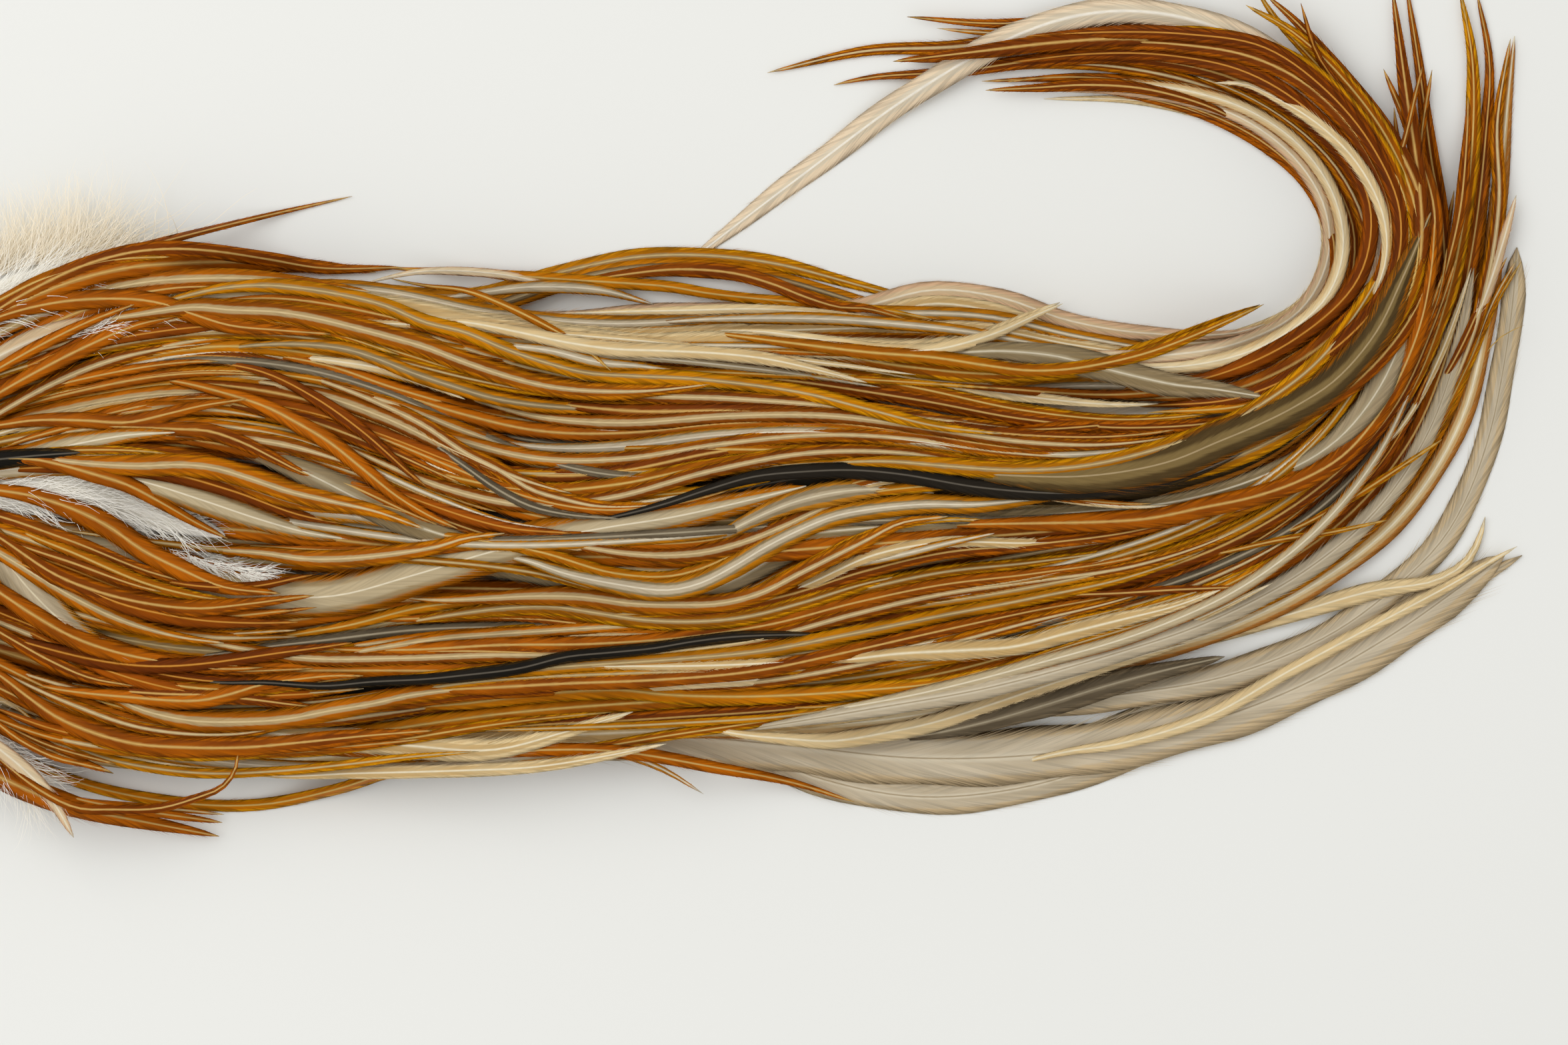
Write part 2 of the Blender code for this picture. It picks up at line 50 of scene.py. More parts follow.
def addNode(tree, kind, values=None, feeds=None, **settings):
    # one shader node: settings are its properties, values its socket values, feeds its incoming links
    node = tree.nodes.new("ShaderNode" + kind)
    for name, value in settings.items():
        setattr(node, name, value)
    for socket, value in (values or {}).items():
        node.inputs[socket].default_value = value
    for socket, source in (feeds or {}).items():
        tree.links.new(source, node.inputs[socket])
    return node.outputs[0]


def toPart(points):
    # sheet mm to part mm: x - origin, origin - y, because the sheet's y runs down
    points = np.asarray(points, float)
    return np.column_stack([points[:, 0] - sheetOrigin[0], sheetOrigin[1] - points[:, 1]])


def trace(text):
    # points of a path set down over the photograph, as "x,y x,y" in sheet mm
    return [tuple(float(value) for value in point.split(",")) for point in text.split()]


def between(limits, share):
    # the value at a share of the way from the first limit to the second
    return limits[0] + share * np.ptp(limits)


def softStep(x):
    # 0 below 0, 1 above 1, and x^2 (3 - 2x) between them
    x = np.clip(x, 0, 1)
    return x ** 2 * (3 - 2 * x)


def smoothPath(points, spacing):
    # centripetal Catmull-Rom curve through the points, read off at even arc lengths
    p = toPart(points)
    p = np.vstack([2 * p[0] - p[1], p, 2 * p[-1] - p[-2]])
    fine = []
    for i in range(1, len(p) - 2):
        q = p[i - 1:i + 3]
        t = np.concatenate([[0], np.cumsum(np.linalg.norm(np.diff(q, axis=0), axis=1) ** 0.5)])
        u = np.linspace(t[1], t[2], 40)[:, None]
        a = [((t[k + 1] - u) * q[k] + (u - t[k]) * q[k + 1]) / (t[k + 1] - t[k]) for k in range(3)]
        b = [((t[k + 2] - u) * a[k] + (u - t[k]) * a[k + 1]) / (t[k + 2] - t[k]) for k in range(2)]
        fine.append(((t[2] - u) * b[0] + (u - t[1]) * b[1]) / (t[2] - t[1]))
    fine = np.vstack(fine)
    run = np.concatenate([[0], np.cumsum(np.linalg.norm(np.diff(fine, axis=0), axis=1))])
    along = np.linspace(0, run[-1], max(6, int(run[-1] / spacing)))
    return np.column_stack([np.interp(along, run, fine[:, k]) for k in (0, 1)]), along


def leftOf(path):
    # unit vectors to the left of travel: the tangent turned a quarter turn
    ahead = np.gradient(path, axis=0)
    ahead /= np.linalg.norm(ahead, axis=1)[:, None]
    return np.column_stack([-ahead[:, 1], ahead[:, 0]])


def stretch(path, along, begin, end):
    # the part of a path between two distances along it, and its own distances from 0
    keep = (along >= begin) & (along <= end)
    return path[keep], along[keep] - along[keep][0]


def upperFaces(names):
    # corners of the solids' upward faces in mm, one row of three points for each face
    found = []
    for name in names:
        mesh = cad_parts[name].data
        co = np.empty(len(mesh.vertices) * 3)
        mesh.vertices.foreach_get("co", co)
        corner = np.array([list(face.vertices) for face in mesh.polygons])
        tri = co.reshape(-1, 3)[corner] / mm
        normal = np.cross(tri[:, 1] - tri[:, 0], tri[:, 2] - tri[:, 0])
        found.append(tri[normal[:, 2] > 0.25 * np.linalg.norm(normal, axis=1)])
    return np.concatenate(found)


def faceWeights(tri, xy):
    # barycentric weights of each point in each face, as points x faces x 3
    a, b, c = (tri[None, :, k, :2] for k in range(3))
    p = xy[:, None, :]
    cross = lambda m, n: m[..., 0] * n[..., 1] - m[..., 1] * n[..., 0]
    area = cross(b - a, c - a)
    area = np.where(np.abs(area) < 1e-9, 1e-9, area)
    wa, wb = cross(b - p, c - p) / area, cross(c - p, a - p) / area
    return np.stack([wa, wb, 1 - wa - wb], axis=-1)


def roofHeight(tri, xy):
    # height of one lock's upper faces over each point, or of the nearest face's rim beside it
    weights = faceWeights(tri, xy)
    best = weights.min(axis=2).argmax(axis=1)
    held = np.clip(weights[np.arange(len(xy)), best], 0, 1)
    held /= held.sum(axis=1)[:, None]
    return (held * tri[best][:, :, 2]).sum(axis=1)


def acrossPath(path, width, height):
    # what a height function says at the right edge, the centre line and the left edge of a feather
    side = leftOf(path)
    return [height(path + side * (width * hand)[:, None]) for hand in (-1, 0, 1)]


allFaces = upperFaces(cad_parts)


def pileHeight(xy):
    # height of the highest face over each point, and 0 where the table is bare
    heights = []
    for part in np.array_split(xy, max(1, len(xy) // 80)):
        weights = faceWeights(allFaces, part)
        z = (weights * allFaces[None, :, :, 2]).sum(axis=2)
        heights.append(np.where(weights.min(axis=2) >= -1e-6, z, 0).max(axis=1))
    return np.concatenate(heights)


def eased(values, reach):
    # mean over 2 * reach + 1 neighbours, done twice, with the ends held
    for _ in range(2):
        wide = np.pad(values, reach, mode="edge")
        values = np.convolve(wide, np.ones(2 * reach + 1) / (2 * reach + 1), "valid")
    return values


def highest(values, reach):
    # largest of 2 * reach + 1 neighbours
    wide = np.pad(values, reach, mode="edge")
    return np.max([wide[k:k + len(values)] for k in range(2 * reach + 1)], axis=0)


resting = {
    "rise": 10.0,      # mm over which a feather on top comes up out of the pile
    "rootDepth": 0.8,  # mm that its root lies inside the pile
    "lowest": 0.3,     # mm over the table
}


def layOver(path, along, width, reach, lift):
    # resting height on the pile: the highest face under the width, with its dips bridged, plus lift;
    # at the root it rises by a soft step from inside the pile, so that the root is hidden
    ground = np.max(acrossPath(path, width, pileHeight), axis=0)
    bridged = eased(highest(ground, 2 * reach - 1), reach) + lift
    buried = eased(ground, 2) - resting["rootDepth"]
    rest = buried + (bridged - buried) * softStep(along / resting["rise"])
    return np.maximum(rest, resting["lowest"]) - 0.5 * crownOf(width)


def placed(name, data):
    # a new object with this data, in the scene
    made = bpy.data.objects.new(name, data)
    bpy.context.scene.collection.objects.link(made)
    return made


def placePiece(name, mesh, nodes):
    # a visible piece on the one body, which takes the place of the solids named, if any
    piece = placed(name, mesh)
    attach(piece, "root")
    if nodes:
        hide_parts(*nodes)


def newMaterial(name, roughness, ior):
    # a new material, its nodes and its shader
    made = bpy.data.materials.new(name)
    made.use_nodes = True
    shader = made.node_tree.nodes["Principled BSDF"]
    shader.inputs["Roughness"].default_value = roughness
    shader.inputs["IOR"].default_value = ior
    return made, made.node_tree, shader


# Looks. Every saddle feather is keratin: a pale shaft with barbs set in two flat vanes. Barbs lie nearly
# parallel and reflect together, which gives a satin streak along the feather and fine slanting lines.
# each look's last value is how deep the painted shade between the barbs is at the vane's edge
looks = {
    "rust": dict(name="gingerHackle", shaft="#CCA45E", stripe="#B58644", vane="#BA6200", shade="#743400",
        hem="#AC5A00", stripeShare=0.19, hemShare=0.84, edgeGapShade=0.8),
    "amber": dict(name="amberHackle", shaft="#D0AC62", stripe="#B88A40", vane="#C87800", shade="#985000",
        hem="#CC8A04", stripeShare=0.19, hemShare=0.84, edgeGapShade=0.8),
    "ginger": dict(name="stripedGingerHackle", shaft="#D4BC8C", stripe="#B69A6C", vane="#C06A00",
        shade="#7E3E00", hem="#C07200", stripeShare=0.38, hemShare=0.9, edgeGapShade=0.75),
    "deep": dict(name="deepGingerHackle", shaft="#C88A38", stripe="#9E5800", vane="#A04E00",
        shade="#6A2E00", hem="#8E4400", stripeShare=0.12, hemShare=0.85, edgeGapShade=0.75),
    "golden": dict(name="mustardHackle", shaft="#C6AE7C", stripe="#A28456", vane="#C67C00", shade="#905400",
        hem="#CE8A00", stripeShare=0.3, hemShare=0.8, edgeGapShade=0.75),
    "olive": dict(name="oliveHackle", shaft="#B8A47C", stripe="#927C5A", vane="#96743A", shade="#6A5230",
        hem="#C07400", stripeShare=0.4, hemShare=0.62, edgeGapShade=0.6),
    "umber": dict(name="umberHackle", shaft="#AC9670", stripe="#7E683E", vane="#6C5630", shade="#4C3A1E",
        hem="#94560A", stripeShare=0.35, hemShare=0.78, edgeGapShade=0.55),
    "stone": dict(name="stoneGreyHackle", shaft="#D2C6AC", stripe="#A89878", vane="#A39070",
        shade="#86724F", hem="#94805E", stripeShare=0.25, hemShare=0.9, edgeGapShade=0.45),
    "edged": dict(name="rustEdgedCreamHackle", shaft="#F0E4C6", stripe="#E2CCA0", vane="#DCC08E",
        shade="#C8A26A", hem="#B47430", stripeShare=0.4, hemShare=0.86, edgeGapShade=0.4),
    "cream": dict(name="creamHackle", shaft="#EFE1C0", stripe="#DCC79C", vane="#DFC594", shade="#C6A46C",
        hem="#E2C896", stripeShare=0.2, hemShare=0.85, edgeGapShade=0.36),
    "blush": dict(name="blushHackle", shaft="#EADDC2", stripe="#DCC8A6", vane="#E0CAA4", shade="#CEB088",
        hem="#D6B08A", stripeShare=0.22, hemShare=0.85, edgeGapShade=0.36),
    "veil": dict(name="veilGreyHackle", shaft="#F4ECDC", stripe="#EEE4D0", vane="#EDE2CC", shade="#DACAAE",
        hem="#E8D2B2", stripeShare=0.22, hemShare=0.85, edgeGapShade=0.32),
    "pale": dict(name="paleGreyHackle", shaft="#E2D5BA", stripe="#BEAD90", vane="#AE9A76", shade="#8A7650",
        hem="#B87206", stripeShare=0.5, hemShare=0.74, edgeGapShade=0.5),
    "tan": dict(name="tanHackle", shaft="#E6D9BC", stripe="#BFAC88", vane="#B29C76", shade="#988058",
        hem="#B46806", stripeShare=0.55, hemShare=0.8, edgeGapShade=0.45),
    "taupe": dict(name="taupeHackle", shaft="#AC9B7E", stripe="#D6C9AF", vane="#D2C3A8", shade="#BAAA8E",
        hem="#C8B089", stripeShare=0.2, hemShare=0.92, edgeGapShade=0.42),
    "hemmed": dict(name="hemmedTaupeHackle", shaft="#D6C8A8", stripe="#B8A688", vane="#AA987A",
        shade="#8E7C5C", hem="#BC7A1A", stripeShare=0.35, hemShare=0.8, edgeGapShade=0.5),
    "smoke": dict(name="smokeHackle", shaft="#A79A80", stripe="#84765E", vane="#746650", shade="#524634",
        hem="#74644C", stripeShare=0.25, hemShare=0.9, edgeGapShade=0.6),
    "black": dict(name="blackHackle", shaft="#5E574C", stripe="#28221A", vane="#241E16", shade="#13100B",
        hem="#3A2A12", stripeShare=0.2, hemShare=0.92, edgeGapShade=0.55),
    "white": dict(name="whiteDown", shaft="#FBF7EE", stripe="#FAF6EC", vane="#FBF7EC", shade="#F2ECDD",
        hem="#F8F3E8", stripeShare=0.2, hemShare=0.9, edgeGapShade=0.3),
}
barbs = {
    "sweep": 3.6,        # mm that a barb runs forward for each mm outward, about 16 degrees from the shaft
    "linePitch": 1.35,   # mm between barb lines: real ones stand 0.3 apart, drawn coarser so that they show
    "lineRelief": 0.09,  # mm, height of the lines in the bump
    "blotch": 11.0,      # mm, length of the slow changes of tone along a feather
    "fray": 0.3,         # share of the half width by which the barbs break the edges of the colours
    "shaftLine": (0.05, 0.17),  # mm from the middle, over which the pale shaft gives way to the stripe
    "toneShare": 0.55,   # weight of the barb lines, and of the feather's own tint, beside the blotches
    "toneRange": (0.75, 1.35),  # sums of the three between which the vane's colour goes over to the shade
    "gapNoise": (0.36, 0.6), "gapShadeAndBarbHighlight": (0.34, 1.1),  # line noise from gap to barb, and the brightness painted there: painted shade in the gaps, a faint painted highlight on the barbs
    "gapShadeShare": 0.12,    # how much of the painted gap shade shows at the shaft; each look's own depth value says it for the edge
    "roughness": 0.46,
    "ior": 1.55,         # keratin
    "mirrorShare": 0.05,  # the barbs break the surface up, so little of keratin's mirror shine is left
}


def vaneMaterial(look):
    # colour across the vane: shaft line, centre stripe, vane, hem, each edge broken by the barbs' noise
    made, tree, shader = newMaterial(look["name"], barbs["roughness"], barbs["ior"])
    share = addNode(tree, "UVMap", uv_map="share")
    run = addNode(tree, "UVMap", uv_map="run")
    shareParts = addNode(tree, "SeparateXYZ", feeds={0: share}).node
    runParts = addNode(tree, "SeparateXYZ", feeds={0: run}).node
    across = addNode(tree, "Math", operation="ABSOLUTE", feeds={0: shareParts.outputs[0]})
    outward = addNode(tree, "Math", operation="ABSOLUTE", feeds={0: runParts.outputs[0]})
    tint = shareParts.outputs[1]
    # the value that stays the same along one barb: run - sweep * distance from the shaft
    barb = addNode(tree, "Math", operation="MULTIPLY_ADD", values={1: -barbs["sweep"]},
                   feeds={0: outward, 2: runParts.outputs[1]})
    seed = addNode(tree, "Math", operation="MULTIPLY", values={1: 5.0}, feeds={0: tint})
    linePlace = addNode(tree, "CombineXYZ", feeds={0: barb, 1: runParts.outputs[0], 2: seed})
    lineScaled = addNode(tree, "VectorMath", operation="MULTIPLY", feeds={0: linePlace},
                         values={1: (1 / barbs["linePitch"], 0.25, 1.0)})
    lines = addNode(tree, "TexNoise", values={"Scale": 1.0, "Detail": 2.0, "Roughness": 0.7},
                    feeds={"Vector": lineScaled})
    blotchScaled = addNode(tree, "VectorMath", operation="MULTIPLY", feeds={0: linePlace},
                           values={1: (1 / barbs["blotch"], 0.3, 1.7)})
    blotch = addNode(tree, "TexNoise", values={"Scale": 1.0, "Detail": 2.0}, feeds={"Vector": blotchScaled})
    # distance from the shaft, moved out or in by up to half the fray, as the lines are bright or dark
    frayed = addNode(tree, "Math", operation="MULTIPLY_ADD", values={1: barbs["fray"]},
                     feeds={0: lines, 2: across})
    frayed = addNode(tree, "Math", operation="SUBTRACT", values={1: 0.5 * barbs["fray"]}, feeds={0: frayed})
    step = lambda low, high, source: addNode(
        tree, "MapRange", interpolation_type="SMOOTHSTEP", feeds={0: source}, values={1: low, 2: high})

    def mixed(factor, *pair):
        # one colour going over to another by the factor; each is named in the look, or another node's
        node = addNode(tree, "Mix", data_type="RGBA", feeds={0: factor}).node
        for socket, colour in zip((6, 7), pair):
            if isinstance(colour, str):
                node.inputs[socket].default_value = linear(look[colour])
            else:
                tree.links.new(colour, node.inputs[socket])
        return node.outputs[2]

    # tone between vane and shade: the feather's own tint, the slow blotches and the barb lines together
    tone = addNode(tree, "Math", operation="MULTIPLY_ADD", values={1: barbs["toneShare"]},
                   feeds={0: lines, 2: blotch})
    tone = addNode(tree, "Math", operation="MULTIPLY_ADD", values={1: barbs["toneShare"]},
                   feeds={0: tint, 2: tone})
    body = mixed(step(*barbs["toneRange"], tone), "vane", "shade")
    withHem = mixed(step(look["hemShare"] - 0.1, look["hemShare"] + 0.1, frayed), body, "hem")
    stripeEnd = step(look["stripeShare"] - 0.1, look["stripeShare"] + 0.09, frayed)
    withStripe = mixed(stripeEnd, "stripe", withHem)
    withShaft = mixed(step(*barbs["shaftLine"], outward), "shaft", withStripe)
    # painted shade in the gaps between barbs and a faint painted highlight on the barbs, multiplied over the
    # vane; it grows with the distance from the shaft, so the vane is painted darker towards its edges
    paintedGapShade = addNode(tree, "MapRange", interpolation_type="SMOOTHSTEP", feeds={0: lines},
                   values=dict(enumerate(barbs["gapNoise"] + barbs["gapShadeAndBarbHighlight"], 1)))
    paintedGapShadeColour = addNode(tree, "CombineXYZ", feeds={0: paintedGapShade, 1: paintedGapShade, 2: paintedGapShade})
    gapShadeShare = addNode(tree, "MapRange", feeds={0: across},
                       values={1: 0.05, 2: 0.9, 3: barbs["gapShadeShare"], 4: look["edgeGapShade"]})
    withPaintedShade = addNode(tree, "Mix", data_type="RGBA", blend_type="MULTIPLY",
                    feeds={0: gapShadeShare, 6: withShaft, 7: paintedGapShadeColour}).node.outputs[2]
    tree.links.new(withPaintedShade, shader.inputs["Base Color"])
    shader.inputs["Specular IOR Level"].default_value = barbs["mirrorShare"]
    relief = addNode(tree, "Bump", values={"Strength": 0.6, "Distance": barbs["lineRelief"] * mm},
                     feeds={"Height": lines})
    tree.links.new(relief, shader.inputs["Normal"])
    return made


lookNames = list(looks)
vaneMaterials = [vaneMaterial(look) for look in looks.values()]
print("feather materials:", len(vaneMaterials))

# what every feather is made of
feather = {
    "across": [-1, -0.66, -0.33, -0.11, 0, 0.11, 0.33, 0.66, 1],  # stations over the vane, shares
    "spacing": 2.3,      # mm between sections of a lock's feather
    "fineSpacing": 1.6,  # mm between sections of a single feather
    "streamSpacing": 1.8,  # of one in a stream, and of a thin one
    "crown": 0.3,        # how far the vanes droop below the shaft, as a share of the half width
    "crownLimit": 0.55,  # mm, the most that wide vanes droop
    "shaftRise": 0.07,   # mm
    "thickness": 0.12,   # mm at the shaft
    "barbPitch": 0.6,    # mm between loose barb ends
    "barbWidth": 0.24,   # mm at the base
    "barbRoot": (0.55, 0.8), "barbTip": (1.02, 1.38),  # where they begin and end, in half widths
    "foldLength": 42.0,  # mm of feather in one row of its picture layout
    "foldEdge": 2.6,     # mm left free at the end of a row, for faces that reach over
}


def crownOf(halfWidth):
    # droop of the vanes in mm: crown * w / (1 + crown * w / limit), so that wide vanes lie flat
    plain = feather["crown"] * halfWidth
    return plain / (1 + plain / feather["crownLimit"])


def tubeFaces(rings, around):
    # four-sided faces between rings of points, each joined to the next and closed round
    i, j = np.meshgrid(np.arange(rings - 1), np.arange(around), indexing="ij")
    k = (j + 1) % around
    i *= around
    return np.stack([i + j, i + around + j, i + around + k, i + k], -1).reshape(-1, 4)


def featherSheet(path, along, halfWidth, height, look, tint, stripeScale, seed, ripe=0.0):
    # section: z = height + crown * w * (1 - |a|^1.8) + shaft, where height tilts between the two sides;
    # one point under the shaft closes it. Barb ends are slim triangles swept forward past the edge.
    # Tint grows by ripe over 60 mm and stays full for the last 70 mm, as the tips are a deeper colour.
    rng = np.random.default_rng(seed)
    a = np.array(feather["across"], float)
    side = leftOf(path)
    low, mid, high = height
    # the edges wave by 7 percent of the half width
    wobble = 1 + 0.07 * np.sin(along[:, None] / 3.1 + seed + 2.0 * np.sign(a)) * (np.abs(a) > 0.7)
    w = halfWidth[:, None] * wobble
    rest = mid[:, None] + np.where(a > 0, (high - mid)[:, None] * a, (low - mid)[:, None] * -a)
    crown = crownOf(halfWidth)[:, None] * (1 - np.abs(a) ** 1.8)
    ridge = feather["shaftRise"] * (np.abs(a) < 0.05)
    top = np.stack([path[:, :1] + side[:, :1] * a * w, path[:, 1:] + side[:, 1:] * a * w,
                    rest + crown + ridge], -1)
    under = top[:, len(a) // 2, None].copy()
    under[..., 2] -= feather["thickness"] + 0.5 * crownOf(halfWidth)[:, None]
    ring = np.concatenate([top, under], axis=1)
    n, m = ring.shape[:2]
    reach = along / along[-1]
    # the pattern's share is taken smaller at the root and larger at the tip: a wide stripe that runs out
    narrowing = (0.7 + 0.3 * np.clip(reach / 0.45, 0, 1)) * (1 + 1.2 * reach ** 6)
    shareAcross = np.append(a, 0.0)[None, :] * (stripeScale * narrowing)[:, None]
    tints = tint + ripe * np.clip((130 - (along[-1] - along)) / 60, 0, 1)
    share = np.stack([shareAcross, np.repeat(tints[:, None], m, 1)], -1)
    runUv = np.stack([np.append(a, 0.0)[None, :] * halfWidth[:, None], np.repeat(along[:, None], m, 1)], -1)
    caps = [np.arange(m), (n - 1) * m + np.arange(m)[::-1]]
    # barb ends, first on the left and then on the right
    count = int(along[-1] / feather["barbPitch"])
    blades, shares, runs = [], [], []
    for hand in (1, -1):
        s = (np.arange(count) + rng.random(count)) * feather["barbPitch"]
        s = s[s < along[-1] * 0.985]
        near = between(feather["barbRoot"], rng.random(len(s)))
        far = between(feather["barbTip"], rng.random(len(s)) ** 1.6)
        at = lambda values, where: np.interp(where, along, values)
        wide = at(halfWidth, s)
        end = np.minimum(s + (far - near) * wide * barbs["sweep"], along[-1])
        hang = high if hand > 0 else low
        spot = lambda where, part, lift: np.column_stack([
            at(path[:, 0], where) + hand * part * wide * at(side[:, 0], where),
            at(path[:, 1], where) + hand * part * wide * at(side[:, 1], where),
            at(mid, where) + (at(hang, where) - at(mid, where)) * np.minimum(part, 1.1)
            + crownOf(wide) * (1 - np.minimum(part, 1.0) ** 1.8) + lift])
        half = 0.5 * feather["barbWidth"]
        first = spot(s - half * hand, near, 0.03)
        second = spot(s + half * hand, near, 0.03)
        tip = spot(end, far, 0.02 + 0.1 * rng.random(len(s)))
        blades.append(np.stack([first, second, tip], 1))
        out = np.stack([near, near, far], 1) * hand
        shares.append(np.stack([out * stripeScale, np.repeat(at(tints, s)[:, None], 3, 1)], -1))
        runs.append(np.stack([out * wide[:, None], np.stack([s, s, end], 1)], -1))
    tris = n * m + np.arange(sum(len(blade) for blade in blades) * 3).reshape(-1, 3)
    join = lambda body, loose: np.concatenate([part.reshape(-1, body.shape[-1]) for part in (body, *loose)])
    return dict(points=join(ring, blades), share=join(share, shares), run=join(runUv, runs),
                quads=tubeFaces(n, m), caps=caps, tris=tris, look=lookNames.index(look), length=along[-1],
                width=max(halfWidth.max(), 0.1))


def putPiece(name, sheets, slotName, *nodes):
    # joins feathers into one mesh: points, faces, the two pattern maps and a folded picture layout
    points, faces, picks, share, run, layout = [], [], [], [], [], []
    rows = [int(sheet["length"] / feather["foldLength"]) + 1 for sheet in sheets]
    row = offset = 0
    for sheet, ownRows in zip(sheets, rows):
        faceList = [face.tolist() for group in ("quads", "caps", "tris") for face in sheet[group]]
        points.append(sheet["points"])
        faces += [[v + offset for v in face] for face in faceList]
        picks += [sheet["look"]] * len(faceList)
        loop = np.concatenate([np.asarray(face) for face in faceList])
        sizes = np.array([len(face) for face in faceList])
        first = np.repeat(loop[np.concatenate([[0], np.cumsum(sizes)[:-1]])], sizes)
        share.append(sheet["share"][loop])
        run.append(sheet["run"][loop])
        fold = np.floor(sheet["run"][first, 1] / feather["foldLength"])
        u = sheet["run"][loop, 1] - fold * feather["foldLength"]
        u /= feather["foldLength"] + feather["foldEdge"]
        v = 0.5 + 0.42 * np.clip(sheet["run"][loop, 0] / sheet["width"], -1, 1)
        layout.append(np.column_stack([np.clip(u, 0, 1) * 0.98 + 0.01, (row + fold + v) / sum(rows)]))
        row += ownRows
        offset += len(sheet["points"])
    mesh = bpy.data.meshes.new(name)
    mesh.from_pydata((np.concatenate(points) * mm).tolist(), [], faces)
    for title, values in (("share", share), ("run", run), ("OFBake", layout)):
        layer = mesh.uv_layers.new(name=title)
        layer.data.foreach_set("uv", np.concatenate(values).astype(np.float32).ravel())
    used = sorted(set(picks))
    for index in used:
        mesh.materials.append(vaneMaterials[index])
    mesh.polygons.foreach_set("material_index", [used.index(pick) for pick in picks])
    mesh.polygons.foreach_set("use_smooth", [True] * len(mesh.polygons))
    mesh.update()
    placePiece(name, mesh, nodes)


def plumeWidth(along, widest, rise, taper, point):
    # half width: widest * quill, which grows to 1 over rise ^ 0.8 * body, which falls to 0.76 over taper
    # * tip, which narrows over point ^ 0.6, all three lengths in mm
    left = along[-1] - along
    quill = 0.03 + 0.97 * np.clip(along / rise, 0, 1) ** 0.8
    body = 0.76 + 0.24 * np.clip(left / taper, 0, 1)
    return widest * quill * body * (0.03 + 0.97 * np.clip(left / point, 0, 1) ** 0.6)


def laidFeather(path, along, width, reach, lift, kind, rng, stripe, seed, ripe=0.0):
    # a feather that lies on the pile; its tint and the width of its stripe are drawn at random
    rest = layOver(path, along, width, reach, lift)
    return featherSheet(path, along, width, [rest, rest, rest], kind, rng.random(),
                        stripe[0] + stripe[1] * rng.random(), seed, ripe)


